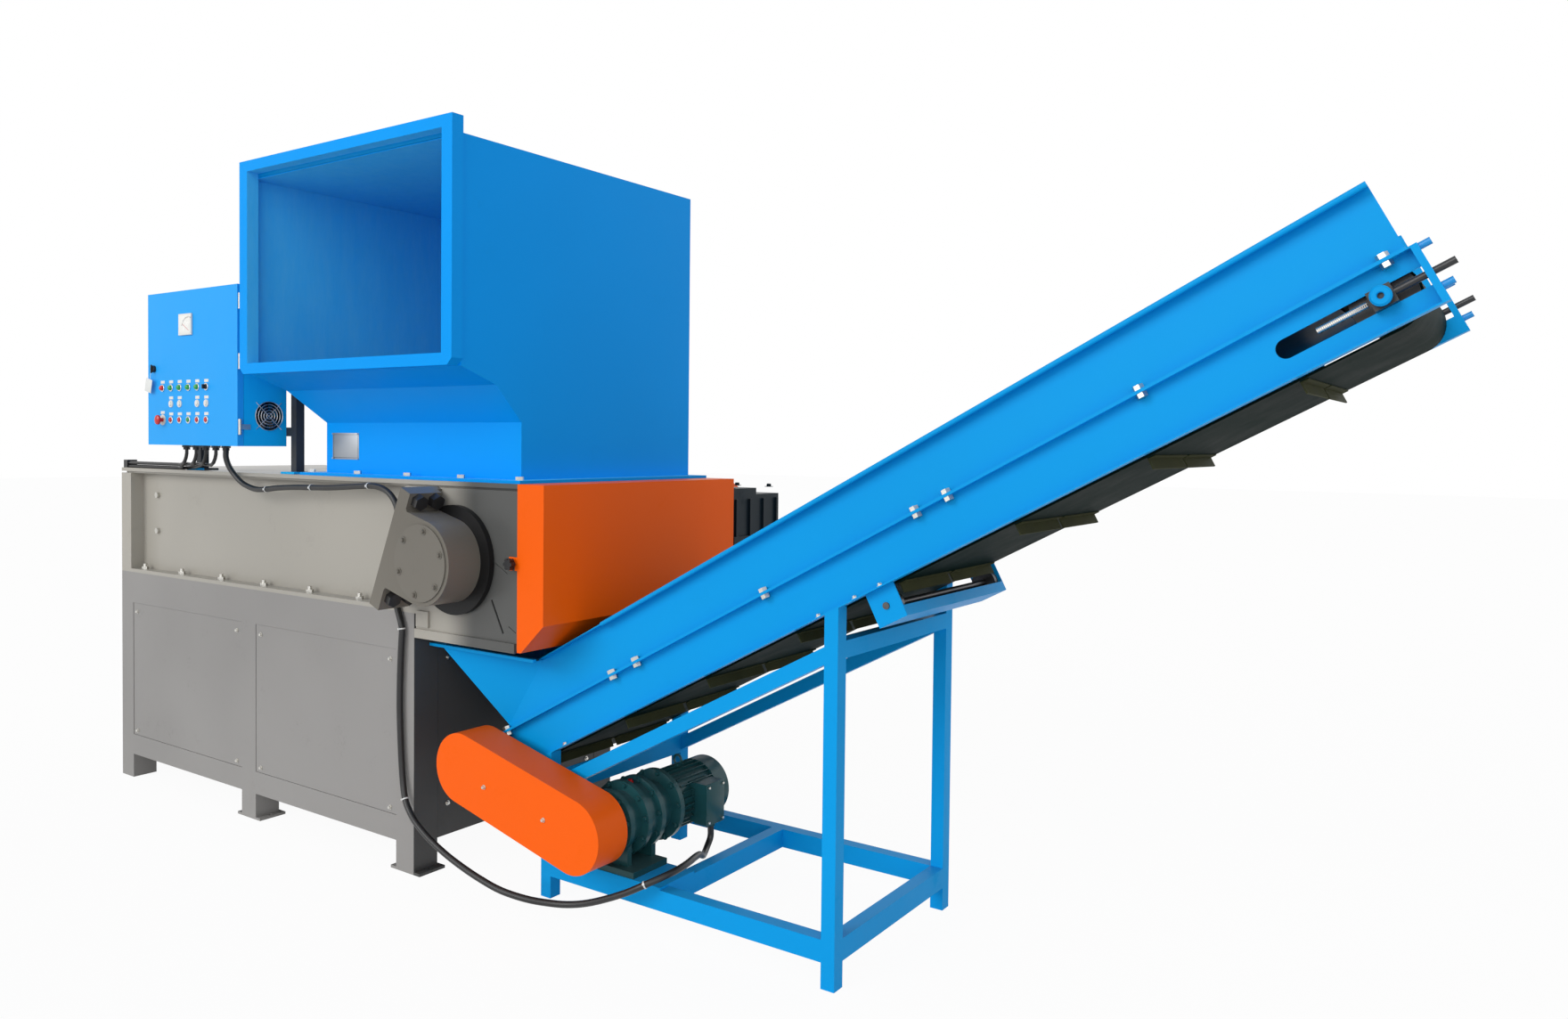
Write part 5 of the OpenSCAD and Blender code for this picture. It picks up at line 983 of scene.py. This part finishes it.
# %% Lid and plugs
drive = Piece("drive_trim")
drive.block((1.977, -0.033, 0.230), (1.9805, 0.065, 0.374), motor_paint, 0.0015)
plug = [(0, -0.004), (0.011, -0.004), (0.011, 0.004), (0.008, 0.006), (0.008, 0.010), (0, 0.010)]
drive.turn((1.775, -0.389, 0.345), NEAR, plug, red_plastic, 24)
drive.turn((SPROCKET_X, -0.245, 0.409), UP, plug, red_plastic, 24)
drive.done("machine", "drive_teal")

# %% The head's eye and screw
low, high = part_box("head_pulley")
head_end = Vector(((low[0] + high[0]) / 2, low[1], (low[2] + high[2]) / 2))
eye = [(0.007, 0), (0.022, 0), (0.022, 0.008), (0.018, 0.012), (0.009, 0.012), (0.007, 0.010),
       (0.007, 0)]
Piece("shaft_eye").turn(head_end, NEAR, eye, blue_paint, 40).done("take_up", "shell_blue")
foot_to_head = (head_end - FOOT).dot(ALONG)
thread = [(0.0075 - 0.0012 * (i % 2), 0.002 * i) for i in range(56)]
screw_foot = on_slope(foot_to_head - 0.140, -0.352, BELT_MIDDLE)
screw = Piece("take_up_screw")
screw.turn(screw_foot, ALONG, [(0, 0), *thread, (0, 0.110)], zinc, 20)
screw.done("take_up", "zinc")
print("head shaft ends at", head_end[:])

# %% Strip at the hopper's mouth
lip = Piece("mouth_lip")
lip.block((0.330, -0.6635, 2.4990), (1.450, -0.6600, 2.5400), blue_paint, 0.0006)
lip.block((0.330, -0.6630, 2.4970), (1.450, -0.6300, 2.5000), blue_paint, 0.0006)
lip.done("machine", "shell_blue")

# %% [markdown]
# ## Floor and light
# The photograph has a white background and soft light from the front left. The near faces are
# bright and the faces towards the conveyor's end get less than half of that. One soft sun gives
# the near faces their light, a weak one fills the far side, and the world gives the rest. The
# camera and reflections see the world as plain white, and the floor is pale with a soft shadow.

# %% Floor, suns and world
def seen_directly(board):
    """1 for rays from the camera, a reflection or glass, and 0 for light that fills."""
    rays = board.add("ShaderNodeLightPath", out="Is Camera Ray")
    seen = rays.join("MAXIMUM", rays, rays.of("Is Glossy Ray"))
    return rays.join("MAXIMUM", seen, rays.of("Is Transmission Ray"))


def soft_sun(name, towards, strength, angle):
    lamp = bpy.data.lights.new(name, "SUN")
    lamp.energy = strength
    lamp.angle = math.radians(angle)
    sun = bpy.data.objects.new(name, lamp)
    sun.rotation_mode = "QUATERNION"
    sun.rotation_quaternion = Vector(towards).to_track_quat("-Z", "Y")
    bpy.context.scene.collection.objects.link(sun)


soft_sun("key_sun", (0.32, 0.86, -0.40), 1.35, 35)
soft_sun("right_sun", (-0.58, 0.78, -0.22), 1.0, 60)
soft_sun("back_sun", (-0.25, -0.85, -0.45), 0.6, 60)

FILL_LIGHT = 0.41
world = bpy.data.worlds.new("studio")
bpy.context.scene.world = world
world.use_nodes = True
world.node_tree.nodes.clear()
sky = Board(world.node_tree)
strength = seen_directly(sky) * (1 - FILL_LIGHT) + FILL_LIGHT
studio = sky.add("ShaderNodeBackground", sockets={"Color": (1, 1, 1, 1), "Strength": strength})
sky.add("ShaderNodeOutputWorld", sockets={"Surface": studio})

floor_mesh = bpy.data.meshes.new("floor")
corners = [(x * 40, y * 40, 0) for x, y in ((-1, -1), (1, -1), (1, 1), (-1, 1))]
floor_mesh.from_pydata(corners, [], [(0, 1, 2, 3)])
floor = bpy.data.objects.new("floor", floor_mesh)
bpy.context.scene.collection.objects.link(floor)


def floor_finish():
    finish, board = new_finish("pale_floor")
    matt = board.add("ShaderNodeBsdfDiffuse", sockets={"Color": (0.86, 0.86, 0.86, 1)})
    white = board.add("ShaderNodeEmission", sockets={"Color": (1, 1, 1, 1), "Strength": 1.0})
    mostly = seen_directly(board) * 0.95
    shown = board.add("ShaderNodeMixShader", sockets={0: mostly, 1: matt, 2: white})
    board.add("ShaderNodeOutputMaterial", sockets={"Surface": shown})
    return finish


floor_mesh.materials.append(floor_finish())
bpy.context.scene.view_settings.view_transform = "Standard"
print("suns:", len(bpy.data.lights))
